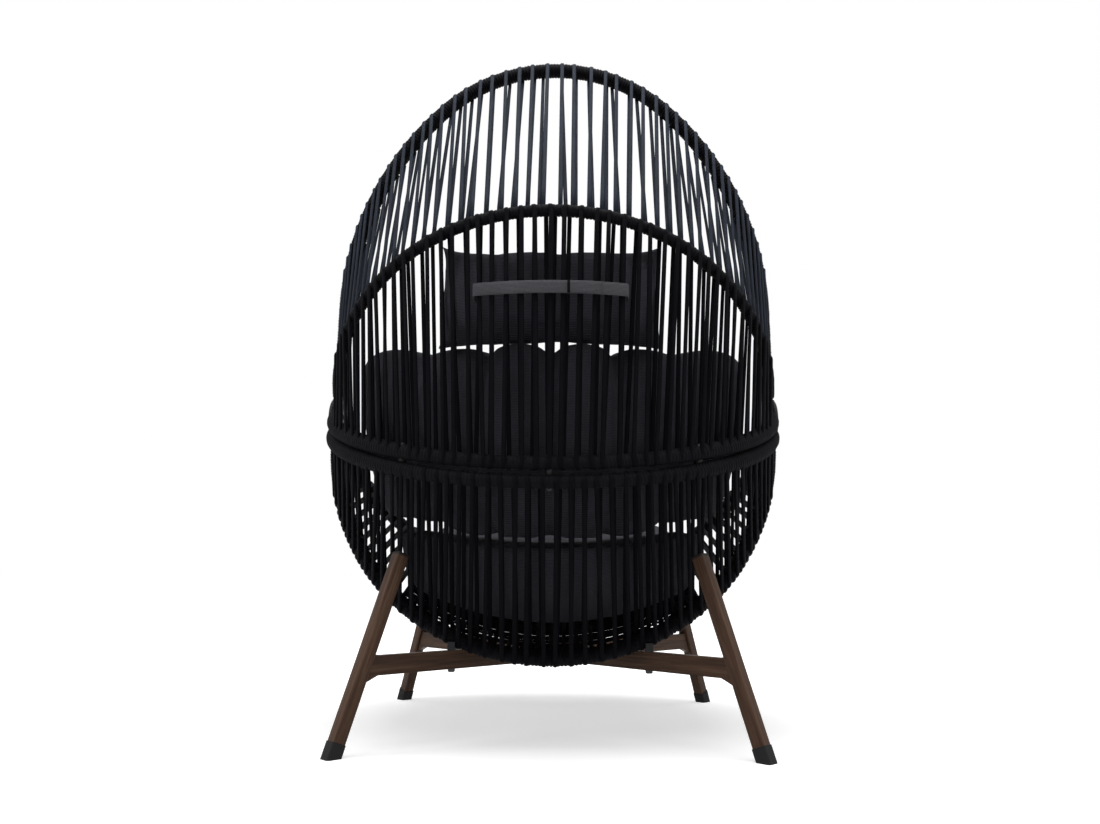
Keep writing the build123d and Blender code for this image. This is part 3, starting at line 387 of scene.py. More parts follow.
def strand(rings, ends, outward):
    """Cord strung between two hoops.

    ends holds, for each hoop: the hoop, the arc where the cord passes it and the arc of its turn over
    the hoop's far side, or None where the cord ends under the winding.
    """
    spots = [hoop.place(arc) for hoop, arc, _ in ends]
    middles = [spot[0][0] for spot in spots]
    headings = [spot[1][0] for spot in spots]
    if np.dot(headings[0], headings[1]) < 0:
        headings[1] = -headings[1]
    reaches = [hoop.wrap_radius * DIVE if turn is None else hoop.wrap_radius + FACE_LIFT
               for hoop, _, turn in ends]
    starts = list(middles)
    for _ in range(4):
        along = unit(starts[1] - starts[0])
        aways = []
        for heading in headings:
            away = unit(np.cross(heading, along))
            if (np.dot(away, (middles[0] + middles[1]) / 2 - INSIDE) > 0) != outward:
                away = -away
            aways.append(away)
        starts = [middles[i] + aways[i] * reaches[i] for i in (0, 1)]
    turns = []
    for i, sense in ((0, -1.0), (1, 1.0)):
        hoop, arc, turn_arc = ends[i]
        beyond = unit(np.cross(aways[i], headings[i]))
        if np.dot(beyond, along) * sense < 0:
            beyond = -beyond
        steps = np.linspace(0.0, 1.0, WRAP_STEPS + 1)[1:] if turn_arc is not None else ()
        turn = []
        for step in steps:
            out = aways[i] * math.cos(WRAP_TURN * step) + beyond * math.sin(WRAP_TURN * step)
            spot = hoop.place(arc + (turn_arc - arc) * step)[0][0]
            lift = FACE_LIFT + (TURN_LIFT - FACE_LIFT) * step
            turn.append((spot + out * (hoop.wrap_radius + lift), headings[i], out))
        turns.append(turn)
    run = []
    lean = rng.uniform(-STRAND_ROLL, STRAND_ROLL)
    for share in SPAN:
        roll = lean * math.sin(math.pi * share)
        wide = headings[0] * (1 - share) + headings[1] * share
        wide = unit(wide - along * np.dot(wide, along))
        out = aways[0] * (1 - share) + aways[1] * share
        out = unit(out - along * np.dot(out, along))
        run.append((starts[0] * (1 - share) + starts[1] * share,
                    wide * math.cos(roll) + out * math.sin(roll),
                    out * math.cos(roll) - wide * math.sin(roll)))
    rows = [np.array(column) for column in zip(*(turns[0][::-1] + run + turns[1]))]
    sweep_cord(rings, rows[0], unit(rows[1]), unit(rows[2]), CORD_WIDTH * rng.uniform(0.92, 1.06))


def panel(hoop_a, pitch_a, hoop_b, pitch_b, layers, jitter, mat):
    """Panel strung in two layers; each has its node, then its places and turns on both hoops, in pitches."""
    for key, places_a, turn_a, places_b, turn_b, outward, stray in layers:
        rings = Rings()
        for place_a, place_b in zip(places_a, places_b):
            for side in ((1, -1) if place_a else (1,)):
                arc_a = side * (place_a + rng.uniform(*stray)) * pitch_a + rng.gauss(0, jitter)
                arc_b = side * (place_b + rng.uniform(*stray)) * pitch_b + rng.gauss(0, jitter)
                turned_a = None if turn_a is None else arc_a + side * turn_a * pitch_a
                turned_b = None if turn_b is None else arc_b + side * turn_b * pitch_b
                strand(rings, ((hoop_a, arc_a, turned_a), (hoop_b, arc_b, turned_b)), outward)
        rings.build(key + "_strung", mat, "frame", "cord", key)


whole = list(range(STRANDS))
half = [k + 0.5 for k in whole]
half_shifted = [k + 0.5 + INNER_SHIFT for k in whole]
whole_shifted = [k + INNER_SHIFT for k in whole]
between_seat = [k + LOWER_INNER for k in whole]
TURN = INNER_SHIFT / 2
STEADY = (0.0, 0.0)
LOOSE = (-0.2, 0.3)         # inner cords of the hood are strung less evenly
SLACK = (-0.3, 0.3)
panel(hood_front, FRONT_PITCH, hood_mid, MID_PITCH,
      (("hood_upper_cords_outer", half, 0.0, half, None, True, STEADY),
       ("hood_upper_cords_inner", half, 0.0, half_shifted, None, False, LOOSE)), STRAND_JITTER, HOOD_CORD_PAINTED_LIT)
panel(hood_mid, MID_PITCH, hood_ring, RING_PITCH,
      (("hood_rear_cords_outer", whole, TURN, whole, TURN, True, STEADY),
       ("hood_rear_cords_inner", whole_shifted, -TURN, whole_shifted, -TURN, False, SLACK)),
      STRAND_JITTER * 1.3, REAR_CORD)
panel(basket_ring, RING_PITCH, lower_hoop, LOWER_PITCH,
      (("basket_rear_cords_outer", half, TURN, half, 0.0, True, STEADY),
       ("basket_rear_cords_inner", half_shifted, -TURN, between_seat, 0.0, False, STEADY)),
      STRAND_JITTER * 1.1, SEAT_CORD)
panel(lower_hoop, LOWER_PITCH, front_rim, RIM_PITCH,
      (("seat_cords_upper", whole, 0.0, whole, 0.0, False, STEADY),
       ("seat_cords_under", whole[UNDER_FIRST:], 0.0, whole[UNDER_FIRST:], 0.0, True, STEADY)),
      STRAND_JITTER * 0.5, SEAT_CORD)


# Cord wound round each hoop
WIND_START = 0.044
PER_TURN = 6
WIND_AROUND = 14
SUNK = 0.0011               # root of a turn below the wrap's radius
UNEVEN = 0.00018            # spread of the turns' radii
SWOLLEN = 0.31              # extra radius of the rear rings' windings beside the hubs
SWELL_FROM, SWELL_TO = 0.62, 0.30   # arcs from the hub where that begins and is full


def ridge_over(row):
    """Height of the rounded turns of a winding, for the rows along it."""
    return RIDGE * np.abs(np.sin(math.pi * (row % PER_TURN) / PER_TURN)) ** 0.6


def eased(low, high, value):
    """0 below low, 1 above high and a smooth step between."""
    share = np.clip((np.asarray(value, float) - low) / (high - low), 0.0, 1.0)
    return share * share * (3 - 2 * share)


def winding(name, hoop, replaced, swollen):
    """Turns of cord round a hoop, thicker beside the hubs by a share of the wrap's radius."""
    reach = hoop.half_length - WIND_START
    turns = int(2 * reach / WIND_PITCH)
    pitch = 2 * reach / turns
    rows = (turns - 1) * PER_TURN + 1
    i, j = np.meshgrid(np.arange(rows), np.arange(WIND_AROUND), indexing="ij")
    arc = -reach + (i / PER_TURN + j / WIND_AROUND) * pitch
    swell = np.array([rng.gauss(0, UNEVEN) for _ in range(turns + 1)])
    radius = hoop.wrap_radius - SUNK + ridge_over(i) + swell[i // PER_TURN]
    near_hub = 1 - eased(SWELL_TO, SWELL_FROM, hoop.half_length - np.abs(arc))
    radius = radius + swollen * hoop.wrap_radius * near_hub
    point, heading = hoop.place(arc.ravel())
    first = unit(np.cross(np.array((1.0, 0.0, 0.0)), hoop.up))
    second = unit(np.cross(heading, first))
    angle = (2 * math.pi * j / WIND_AROUND).ravel()[:, None]
    spots = point + radius.ravel()[:, None] * (first * np.cos(angle) + second * np.sin(angle))
    rings = Rings()
    girth = np.linspace(0.0, 2 * math.pi * hoop.wrap_radius, WIND_AROUND + 1)
    rings.tube(spots.reshape(rows, WIND_AROUND, 3), girth, np.arange(rows) * pitch / PER_TURN)
    rings.build(name, WOUND_CORD, "frame", "cord", replaced)


for name, hoop in (("hood_front", hood_front), ("hood_mid", hood_mid), ("hood_ring", hood_ring),
                   ("basket_ring", basket_ring), ("basket_lower", lower_hoop), ("basket_rim", front_rim)):
    winding(name + "_winding", hoop, name + "_wrap", SWOLLEN if "ring" in name else 0.0)


# Cord wound over the side hubs
HUB_RADIUS = 0.0495
HUB_HALF = 0.0145
HUB_MIDDLE = (HOOD_Z + BASKET_Z) / 2
HUB_REACH = 0.047
HUB_ROOT = 0.014            # half depth of the first and last turns
HUB_SQUARE = 0.7            # 1 for round turns, less for squarer ones
HUB_GIRTH, HUB_STEP = 0.2, 0.001    # length of a turn and distance between rows, in UVs


def hub_winding(name, side):
    """Level turns of cord that cover a hub's disc."""
    turns = int(2 * HUB_REACH / WIND_PITCH)
    rows = turns * PER_TURN + 1
    i, j = np.meshgrid(np.arange(rows), np.arange(2 * WIND_AROUND), indexing="ij")
    up = -HUB_REACH + i * 2 * HUB_REACH / (rows - 1)
    angle = math.pi * j / WIND_AROUND
    ridge = ridge_over(i)
    deep = np.sqrt(np.maximum(HUB_RADIUS ** 2 - up ** 2, HUB_ROOT ** 2)) + ridge
    wide = HUB_HALF + ridge
    x = side * HALF_WIDTH + wide * np.sign(np.cos(angle)) * np.abs(np.cos(angle)) ** HUB_SQUARE
    y = deep * np.sign(np.sin(angle)) * np.abs(np.sin(angle)) ** HUB_SQUARE
    rings = Rings()
    girth = np.linspace(0.0, HUB_GIRTH, 2 * WIND_AROUND + 1)
    rings.tube(np.stack((x, y, HUB_MIDDLE + up), axis=2), girth, np.arange(rows) * HUB_STEP)
    rings.build(name, WOUND_CORD, "frame", "cord")


for word, side in (("left", 1), ("right", -1)):
    hub_winding("hub_winding_" + word, side)


# Cross cords woven under the seat cords
WEFT_PITCH = 0.0152
WEFT_FIRST = 0.178
WEFT_COUNT = 38
WEFT_REACH = 0.30
WEFT_JITTER = 0.002
WEFT_MARGIN = 0.03          # share of the seat cords' length left free at each end


def seat_line(x):
    (a, heading), (b, _) = lower_hoop.at_x(x), front_rim.at_x(x)
    return a, b, unit(np.cross(heading, b - a))


def wefts():
    rings = Rings()
    xs = np.linspace(-WEFT_REACH, WEFT_REACH, 31)
    lines = [seat_line(x) for x in xs]
    for count in range(WEFT_COUNT):
        depth = WEFT_FIRST - count * WEFT_PITCH + rng.uniform(-WEFT_JITTER, WEFT_JITTER)
        centres, normals = [], []
        for a, b, normal in lines:
            share = (depth - a[1]) / (b[1] - a[1])
            if not WEFT_MARGIN < share < 1 - WEFT_MARGIN:
                continue
            if normal[2] < 0:
                normal = -normal
            drop = lower_hoop.wrap_radius + FACE_LIFT - CORD_THICK * 0.9
            centres.append(a + (b - a) * share + normal * drop)
            normals.append(normal)
        if len(centres) < 6:
            continue
        centres, normals = np.array(centres), np.array(normals)
        forward = np.gradient(centres, axis=0)
        across = unit(np.cross(normals, forward))
        sweep_cord(rings, centres, across, normals, CORD_WIDTH, CORD_THICK * 0.8)
    rings.build("seat_weft", SEAT_CORD, "frame", "cord")


wefts()


# Cushions
def loose_mesh(name, source):
    obj = bpy.data.objects.new(name, source.data.copy())
    obj.data.materials.clear()
    scene.collection.objects.link(obj)
    return obj


def coordinates(mesh):
    flat = np.zeros(len(mesh.vertices) * 3, np.float32)
    mesh.vertices.foreach_get("co", flat)
    return flat.reshape(-1, 3).astype(float)


def set_coordinates(obj, co):
    obj.data.vertices.foreach_set("co", co.astype(np.float32).ravel())
    obj.data.update()


def vertex_normals(mesh):
    flat = np.zeros(len(mesh.vertices) * 3, np.float32)
    mesh.vertices.foreach_get("normal", flat)
    return flat.reshape(-1, 3)


def apply_modifiers(obj):
    made = bpy.data.meshes.new_from_object(obj.evaluated_get(bpy.context.evaluated_depsgraph_get()))
    obj.modifiers.clear()
    obj.data = made


def inflate(obj, pressure, steps, cap, stiffness=18.0):
    """Cloth under inner pressure; no point moves further than the cap."""
    before = coordinates(obj.data)
    cloth = obj.modifiers.new("Cloth", "CLOTH")
    settings = cloth.settings
    settings.quality = 6
    settings.mass = 0.35
    settings.tension_stiffness = stiffness
    settings.compression_stiffness = stiffness
    settings.shear_stiffness = 6.0
    settings.bending_stiffness = 0.6
    settings.use_pressure = True
    settings.uniform_pressure_force = pressure
    settings.effector_weights.gravity = 0.0
    cloth.collision_settings.use_collision = False
    cloth.collision_settings.use_self_collision = False
    for step in range(1, steps + 1):
        scene.frame_set(step)
    after = coordinates(obj.evaluated_get(bpy.context.evaluated_depsgraph_get()).data)
    obj.modifiers.clear()
    scene.frame_set(1)
    move = after - before
    length = np.linalg.norm(move, axis=1, keepdims=True)
    move *= cap * np.tanh(length / cap) / np.maximum(length, 1e-9)
    set_coordinates(obj, before + move)


def finish_cushion(obj, body, fill, mat, *replaced):
    subdivide = obj.modifiers.new("Smooth", "SUBSURF")
    subdivide.levels = subdivide.render_levels = 1
    obj.data.polygons.foreach_set("use_smooth", [True] * len(obj.data.polygons))
    paint(obj, mat)
    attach(obj, body)
    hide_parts(*replaced)


def from_solid(name, cad, voxel, inset):
    """Evenly meshed copy of a CAD cushion, drawn in by an inset."""
    obj = loose_mesh(name, nodes[cad])
    remesh = obj.modifiers.new("Remesh", "REMESH")
    remesh.mode = "VOXEL"
    remesh.voxel_size = voxel
    apply_modifiers(obj)
    smooth = obj.modifiers.new("Round", "SMOOTH")
    smooth.factor = 0.5
    smooth.iterations = 6
    apply_modifiers(obj)
    set_coordinates(obj, coordinates(obj.data) - inset * vertex_normals(obj.data))
    return obj


# Seat pad: the room between a crowned top and the cords that carry it
SEAT_STATIONS = np.array((  # depth, half width, lift of the underside and rise of the top
    (-0.372, 0.227, 0.0220, -0.022), (-0.326, 0.256, 0.0100, -0.007), (-0.170, 0.270, -0.0004, 0.0),
    (0.0, 0.270, -0.0004, 0.0), (0.148, 0.232, 0.025, 0.013), (0.206, 0.173, 0.066, 0.018),
    (0.245, 0.113, 0.108, 0.022)))
SEAT_EDGE_X = 0.270         # where the top's edge height is taken
SEAT_FRONT = -0.368
SEAT_SIDE = 0.298
SEAT_EDGE, SEAT_CROWN, SEAT_SAG = 0.062, 0.034, 0.048
SEAT_WING = 0.085           # extra height of the rear corners
SEAT_WING_DEPTHS = (0.0, 0.22)          # where that begins and is full
SEAT_REAR_DROP = 0.005
SEAT_CORNER = 0.045         # how far the front corners lie behind the front's middle
SIDE_ROUND, FRONT_ROUND = 0.14, 0.10    # rounded shares of the half width and of the depth
THIN_EDGE = 0.004           # the pad ends to the rear where it is this thin
REAR_SEARCH = (0.05, 0.40)  # depths between which that is looked for
CLOSER = 1.35               # above 1 for columns that are closer together near the sides
PAD_GAP = 0.004             # between a pad and the cords behind it


def lines_of(hoop_a, hoop_b, xs):
    """Ends and normals of a panel's middle lines at distances from the middle plane."""
    made = [(hoop_a.at_x(x), hoop_b.at_x(x)[0]) for x in xs]
    a = np.array([m[0][0] for m in made])
    b = np.array([m[1] for m in made])
    return a, b, unit(np.cross(np.array([m[0][1] for m in made]), b - a))


def seat_height(x, y):
    """Top of the cords that carry the seat."""
    a, b, normal = seat_line(x)
    line = a[2] + (b[2] - a[2]) * (y - a[1]) / (b[1] - a[1])
    return line + (lower_hoop.wrap_radius + CORD_REACH) / abs(normal[2])


def seat_levels():
    """Underside's corner and middle, top's edge and crown at each station."""
    rows = []
    for depth, half_width, lift, rise in SEAT_STATIONS:
        corner = seat_height(half_width, depth) + lift
        middle = max(corner - SEAT_SAG, seat_height(0.0, depth) + lift)
        edge = seat_height(SEAT_EDGE_X, depth) + SEAT_EDGE + rise
        rows.append((corner, middle, edge, edge + SEAT_CROWN + rise / 2))
    return np.array(rows)


def seat_mesh(columns=52, rows=44):
    """Two sheets, the top and the underside, that meet at the pad's edge."""
    levels = seat_levels()
    depths = SEAT_STATIONS[:, 0]
    us = np.linspace(-1.0, 1.0, columns + 1)
    us = np.sign(us) * (1 - (1 - np.abs(us)) ** CLOSER)
    a, b, normal = lines_of(lower_hoop, basket_ring, np.abs(us) * SEAT_SIDE)
    slope = (b[:, 2] - a[:, 2]) / (b[:, 1] - a[:, 1])
    reach = (lower_hoop.wrap_radius + CORD_REACH) / np.abs(normal[:, 1]) + PAD_GAP

    def top_at(x, y):
        edge, crown = (np.interp(y, depths, levels[:, k]) for k in (2, 3))
        wing = (SEAT_WING * (x / SEAT_SIDE) ** 2 - SEAT_REAR_DROP) * eased(*SEAT_WING_DEPTHS, y)
        return edge + (crown - edge) * (1 - (x / SEAT_EDGE_X) ** 2) + wing

    def low_at(c, x, y):
        corner, middle = (np.interp(y, depths, levels[:, k]) for k in (0, 1))
        half_width = np.interp(y, depths, SEAT_STATIONS[:, 1])
        pad = middle + (corner - middle) * (x / half_width) ** 2
        wall = a[c, 2] + (y + reach[c] - a[c, 1]) * slope[c]
        return max(pad, wall)

    points, index = [], {}
    for c, u in enumerate(us):
        x = u * SEAT_SIDE
        near, far = REAR_SEARCH
        for _ in range(40):
            middle = (near + far) / 2
            if top_at(x, middle) > low_at(c, x, middle) + THIN_EDGE:
                near = middle
            else:
                far = middle
        front = SEAT_FRONT + SEAT_CORNER * abs(u) ** 5
        for r in range(rows + 1):
            v = r / rows
            y = front + (near - front) * v
            top, low = top_at(x, y), low_at(c, x, y)
            side = max((abs(u) - (1 - SIDE_ROUND)) / SIDE_ROUND, 0.0)
            fore = max((FRONT_ROUND - v) / FRONT_ROUND, 0.0)
            fullness = math.sqrt(max(1 - side ** 2, 0.0)) * math.sqrt(max(1 - fore ** 2, 0.0))
            middle = (top + low) / 2
            edge = c in (0, columns) or r in (0, rows)
            for layer in ((0,) if edge else (1, -1)):
                index[(layer, r, c)] = len(points)
                points.append((x, y, middle + layer * (top - low) / 2 * fullness))
    return sheet_object("seat_pad", points, index, rows, columns, 1)


def sheet_object(name, points, index, rows, columns, forward):
    """Mesh of two sheets that share their edge.

    The index gives a point for each layer, row and column; forward is the layer whose faces keep their order.
    """
    faces = []
    for layer in (1, -1):
        for r in range(rows):
            for c in range(columns):
                quad = []
                for rr, cc in ((r, c), (r, c + 1), (r + 1, c + 1), (r + 1, c)):
                    edge = rr in (0, rows) or cc in (0, columns)
                    quad.append(index[(0 if edge else layer, rr, cc)])
                faces.append(tuple(quad if layer == forward else quad[::-1]))
    mesh = bpy.data.meshes.new(name)
    mesh.from_pydata([tuple(point) for point in points], [], faces)
    mesh.validate()
    obj = bpy.data.objects.new(name, mesh)
    scene.collection.objects.link(obj)
    return obj


seat = seat_mesh()
inflate(seat, pressure=2.0, steps=12, cap=0.005)
finish_cushion(seat, "seat", 0.75, SEAT_FABRIC, "seat_cushion")

# Back pad: its lower wings hang further down the cords than the solid's
# Heights of the solid's lower edge and of the drawn one, by degrees from the middle
BACK_EDGE = ((0.0, 0.386), (20.0, 0.386), (36.0, 0.420), (50.0, 0.470), (63.0, 0.560), (90.0, 0.640))
BACK_HANG = ((0.0, 0.362), (20.0, 0.365), (36.0, 0.382), (50.0, 0.408), (63.0, 0.445), (90.0, 0.560))
BACK_FADE = 0.15            # height over which that drop fades out
BACK_SEAMS = (0.0, 20.5, 41.0)  # sewn channels, in degrees from the middle
SEAM_DEPTH, SEAM_WIDTH = 0.015, 2.3
BACK_RAISE, SCALLOP = 0.008, 0.009      # lift of the top edge, and the most that its lobes add
RAISE_HEIGHTS = (0.66, 0.73)            # where that begins and is full
WING_ANGLES, WING_HEIGHTS = (36.0, 64.0), (0.56, 0.70)
WING_LIFT, WING_SPREAD, WING_REACH = 0.030, 0.20, 0.02
WALL_LEAN = 0.62            # how far the cords come inwards for each metre down
# Height over the seat pad, which rises 9 mm more than the back pad when both are drawn out
PAD_CLEARANCE = 0.0140
PLAN_CELL = 0.016


def seat_tops(points):
    """Height of the seat pad's top under each point, in square cells; 0 beside the pad."""
    def cell(x, y):
        return round(x / PLAN_CELL), round(y / PLAN_CELL)

    tops = {}
    for x, y, z in coordinates(seat.data):
        tops[cell(x, y)] = max(tops.get(cell(x, y), 0.0), z)
    return np.array([tops.get(cell(x, y), 0.0) for x, y, _ in points])


back = from_solid("back_pad", "back_cushion", voxel=0.008, inset=0.006)
co = coordinates(back.data)
angle = np.degrees(np.arctan2(np.abs(co[:, 0]), co[:, 1]))
edge = np.interp(angle, *zip(*BACK_EDGE))
drop = (edge - np.interp(angle, *zip(*BACK_HANG))) * np.clip(1 - (co[:, 2] - edge) / BACK_FADE, 0.0, 1.0)
distance = np.hypot(co[:, 0], co[:, 1])
co[:, :2] *= (1 - WALL_LEAN * drop / np.maximum(distance, 0.1))[:, None]
co[:, 2] -= drop
scallop = 0.75 + 0.25 * np.cos(np.radians(angle) * 2 * math.pi / math.radians(BACK_SEAMS[1]) + math.pi)
co[:, 2] += (BACK_RAISE + SCALLOP * scallop) * eased(*RAISE_HEIGHTS, co[:, 2])
wing = eased(*WING_ANGLES, angle)
co[:, 2] += WING_LIFT * wing * eased(*WING_HEIGHTS, co[:, 2])
spread = np.radians(angle) * (1 + WING_SPREAD * wing)
distance = np.hypot(co[:, 0], co[:, 1]) * (1 + WING_REACH * wing)
co[:, 0], co[:, 1] = np.sign(co[:, 0]) * distance * np.sin(spread), distance * np.cos(spread)
seam = np.abs(angle[:, None] - np.array(BACK_SEAMS)).min(axis=1)
co -= (SEAM_DEPTH * np.exp(-(seam / SEAM_WIDTH) ** 2))[:, None] * vertex_normals(back.data)
set_coordinates(back, co)
inflate(back, pressure=4.0, steps=16, cap=0.008)
co = coordinates(back.data)
co[:, 2] = np.maximum(co[:, 2], seat_tops(co) + PAD_CLEARANCE)
set_coordinates(back, co)
finish_cushion(back, "back", 0.7, FABRIC, "back_cushion")


# Headrest pillow: two sheets sewn along a knife edge, then blown up
PILLOW_HALF = (0.222, 0.116)
PILLOW_CENTRE = 0.842
PILLOW_SEAM = 0.056         # seam's depth in front of the cords
PILLOW_BULGE = 0.020        # of each sheet, before it is blown up
SEAM_SIDE, SEAM_SIDE_EAR = 0.2040, 0.0120   # half width, and what its corners add
SEAM_TOP, SEAM_TOP_EAR = 0.0890, 0.0200
SEAM_FOOT, SEAM_FOOT_EAR = 0.0935, 0.0150
REAR_LIMIT, REAR_EASE = -0.0015, 0.012      # the pillow's back is held this far from the cords
rear_lean = unit(hood_mid.place(0.0)[0][0] - hood_ring.place(0.0)[0][0])


def rear_face(x, height, sign):
    """Depth of the outer (1) or inner (-1) face of the hood's rear cords."""
    (a, heading), (b, _) = hood_ring.at_x(x), hood_mid.at_x(x)
    normal = unit(np.cross(heading, b - a))
    share = (height - a[2]) / (b[2] - a[2])
    reach = hood_ring.wrap_radius + (hood_mid.wrap_radius - hood_ring.wrap_radius) * share + CORD_REACH
    return a[1] + (b[1] - a[1]) * share + sign * reach / abs(normal[1])


PILLOW_COLUMNS, PILLOW_ROWS = 58, 28


def pillow_mesh():
    inner = rear_face(0.0, PILLOW_CENTRE, -1)
    origin = np.array((0.0, inner, PILLOW_CENTRE))
    rearward = unit(np.cross(rear_lean, np.array((1.0, 0.0, 0.0))))
    if rearward[1] < 0:
        rearward = -rearward
    points, index, places = [], {}, []
    for layer in (1, -1):
        for r in range(PILLOW_ROWS + 1):
            for c in range(PILLOW_COLUMNS + 1):
                edge = r in (0, PILLOW_ROWS) or c in (0, PILLOW_COLUMNS)
                key = (0 if edge else layer, r, c)
                if key in index:
                    continue
                u, v = 2 * c / PILLOW_COLUMNS - 1, 2 * r / PILLOW_ROWS - 1
                bulge = 0.0 if edge else layer * PILLOW_BULGE * (1 - u ** 6) * (1 - v ** 4)
                index[key] = len(points)
                places.append((u, v))
                points.append(origin + np.array((1.0, 0.0, 0.0)) * u * PILLOW_HALF[0]
                              + rear_lean * v * PILLOW_HALF[1] + rearward * (bulge - PILLOW_SEAM))
    obj = sheet_object("headrest_pad", points, index, PILLOW_ROWS, PILLOW_COLUMNS, -1)
    return obj, origin, rearward, np.array(places), index


def fit_seam(co, origin, places, index):
    """Stretch the blown-up pillow in its plane so that its seam has the photographed outline."""
    across = co[:, 0].copy()
    up = (co - origin) @ rear_lean
    u, v = places.T
    side = np.array([np.mean([abs(across[index[(0, r, c)]]) for c in (0, PILLOW_COLUMNS)])
                     for r in range(PILLOW_ROWS + 1)])
    high = np.array([up[index[(0, PILLOW_ROWS, c)]] for c in range(PILLOW_COLUMNS + 1)])
    low = np.array([up[index[(0, 0, c)]] for c in range(PILLOW_COLUMNS + 1)])
    row = np.rint((v + 1) / 2 * PILLOW_ROWS).astype(int)
    column = np.rint((u + 1) / 2 * PILLOW_COLUMNS).astype(int)
    wide = (SEAM_SIDE + SEAM_SIDE_EAR * np.abs(v) ** 5) / side[row]
    tall = np.where(up > 0, (SEAM_TOP + SEAM_TOP_EAR * np.abs(u) ** 7) / high[column],
                    (-SEAM_FOOT - SEAM_FOOT_EAR * np.abs(u) ** 3) / low[column])
    co[:, 0] = across * wide
    co += ((tall - 1) * up)[:, None] * rear_lean


pillow, pillow_origin, pillow_rear, pillow_places, pillow_index = pillow_mesh()
inflate(pillow, pressure=3.2, steps=22, cap=0.045, stiffness=30.0)
co = coordinates(pillow.data)
fit_seam(co, pillow_origin, pillow_places, pillow_index)
depth = (co - pillow_origin) @ pillow_rear
over = np.maximum(depth - (REAR_LIMIT - REAR_EASE), 0.0)
held = depth - over + REAR_EASE * np.tanh(over / REAR_EASE)
co += (held - depth)[:, None] * pillow_rear
set_coordinates(pillow, co)
finish_cushion(pillow, "headrest", 0.6, FABRIC, "headrest_pillow")


# Headrest strap: flat webbing behind the cords, its ends turned in between them
STRAP_THICK = 0.0016
STRAP_ARCH, ARCH_REACH = 0.001, 0.13    # drop at a distance from the middle
STRAP_DROP = 0.006          # below the solid strap
STRAP_TUCK = 0.060          # how far the ends turn in
LAP_ENDS, LAP_THICK, LAP_RISE = (-0.094, -0.032), 0.0015, 0.0008
# Ends, thickness and rise of a strip of painted shade at the fold by the overlap's end
FOLD_SHADE_ENDS, FOLD_SHADE_THICK, FOLD_SHADE_RISE = (-0.0355, -0.0305), 0.0024, 0.0010
STRAP_GAP = 0.0006          # between the strap and the cords' outer face


def strap():
    """Plan of the strap, from one turned-in end to the other."""
    share = (STRAP_Z - hood_ring.place(0.0)[0][0][2]) / (
        hood_mid.place(0.0)[0][0][2] - hood_ring.place(0.0)[0][0][2])
    half_x = STRAP_SLOT * (RING_PITCH + (MID_PITCH - RING_PITCH) * share)
    path = []
    corner = rear_face(half_x, STRAP_Z, 1)
    inner = corner - STRAP_TUCK
    for y in np.linspace(inner, corner - 0.004, 6):
        path.append((half_x, y))
    path.append((half_x - 0.0012, corner - 0.0008))
    for x in np.linspace(half_x - 0.004, -half_x + 0.004, 41):
        path.append((x, rear_face(x, STRAP_Z, 1) + STRAP_GAP + STRAP_THICK / 2))
    path.append((-half_x + 0.0012, corner - 0.0008))
    for y in np.linspace(corner - 0.004, inner, 6):
        path.append((-half_x, y))
    return path


def over_strap(ends, count, rise):
    """Plan of a piece that lies on the strap, with its middle a rise above the strap's outer face."""
    return [(x, rear_face(x, STRAP_Z, 1) + STRAP_GAP + STRAP_THICK + rise)
            for x in np.linspace(*ends, count)]


def webbing(rings, path, thick, height, arch):
    """Flat band through points in plan, with rounded edges; arch lowers its ends."""
    plan = np.array(path)
    height_at = STRAP_Z - STRAP_DROP - arch * (plan[:, 0] / ARCH_REACH) ** 2
    centres = np.column_stack((plan[:, 0], plan[:, 1], height_at))
    forward = unit(np.gradient(centres, axis=0))
    upward = unit(np.tile(rear_lean, (len(centres), 1)))
    upward = unit(upward - forward * np.sum(upward * forward, axis=1, keepdims=True))
    outward = unit(np.cross(forward, upward))
    profile = [(-0.5, -0.2), (-0.5, 0.2), (-0.47, 0.5), (-0.2, 0.5), (0.2, 0.5), (0.47, 0.5), (0.5, 0.2),
               (0.5, -0.2), (0.47, -0.5), (0.2, -0.5), (-0.2, -0.5), (-0.47, -0.5)]
    grid = np.stack([centres + upward * (a * height) + outward * (b * thick) for a, b in profile], axis=1)
    steps = np.concatenate(([0.0], np.cumsum(np.linalg.norm(np.diff(centres, axis=0), axis=1))))
    rings.tube(grid, np.linspace(0.0, 2 * height, len(profile) + 1), steps)


band = Rings()
webbing(band, strap(), STRAP_THICK, STRAP_HEIGHT, STRAP_ARCH)
band.build("headrest_webbing", WEBBING, "headrest", "strap_webbing", "headrest_strap")
lap = Rings()
webbing(lap, over_strap(LAP_ENDS, 15, LAP_RISE), LAP_THICK, STRAP_HEIGHT * 0.985, STRAP_ARCH)
lap.build("webbing_overlap", WEBBING, "headrest", "strap_webbing", "strap_overlap")
# A thin strip in the rear cords' near-black, laid across the strap at the overlap's end: painted shade
# standing for the shadow in the fold there.
fold = Rings()
webbing(fold, over_strap(FOLD_SHADE_ENDS, 4, FOLD_SHADE_RISE), FOLD_SHADE_THICK, STRAP_HEIGHT * 0.99, STRAP_ARCH)
fold.build("webbing_fold_painted_shade", REAR_CORD, "headrest", "strap_webbing")


# Stage, light and camera
floor_mesh = bpy.data.meshes.new("floor")
floor_mesh.from_pydata([(-30, -30, 0), (30, -30, 0), (30, 30, 0), (-30, 30, 0)], [], [(0, 1, 2, 3)])
floor = bpy.data.objects.new("floor", floor_mesh)
scene.collection.objects.link(floor)


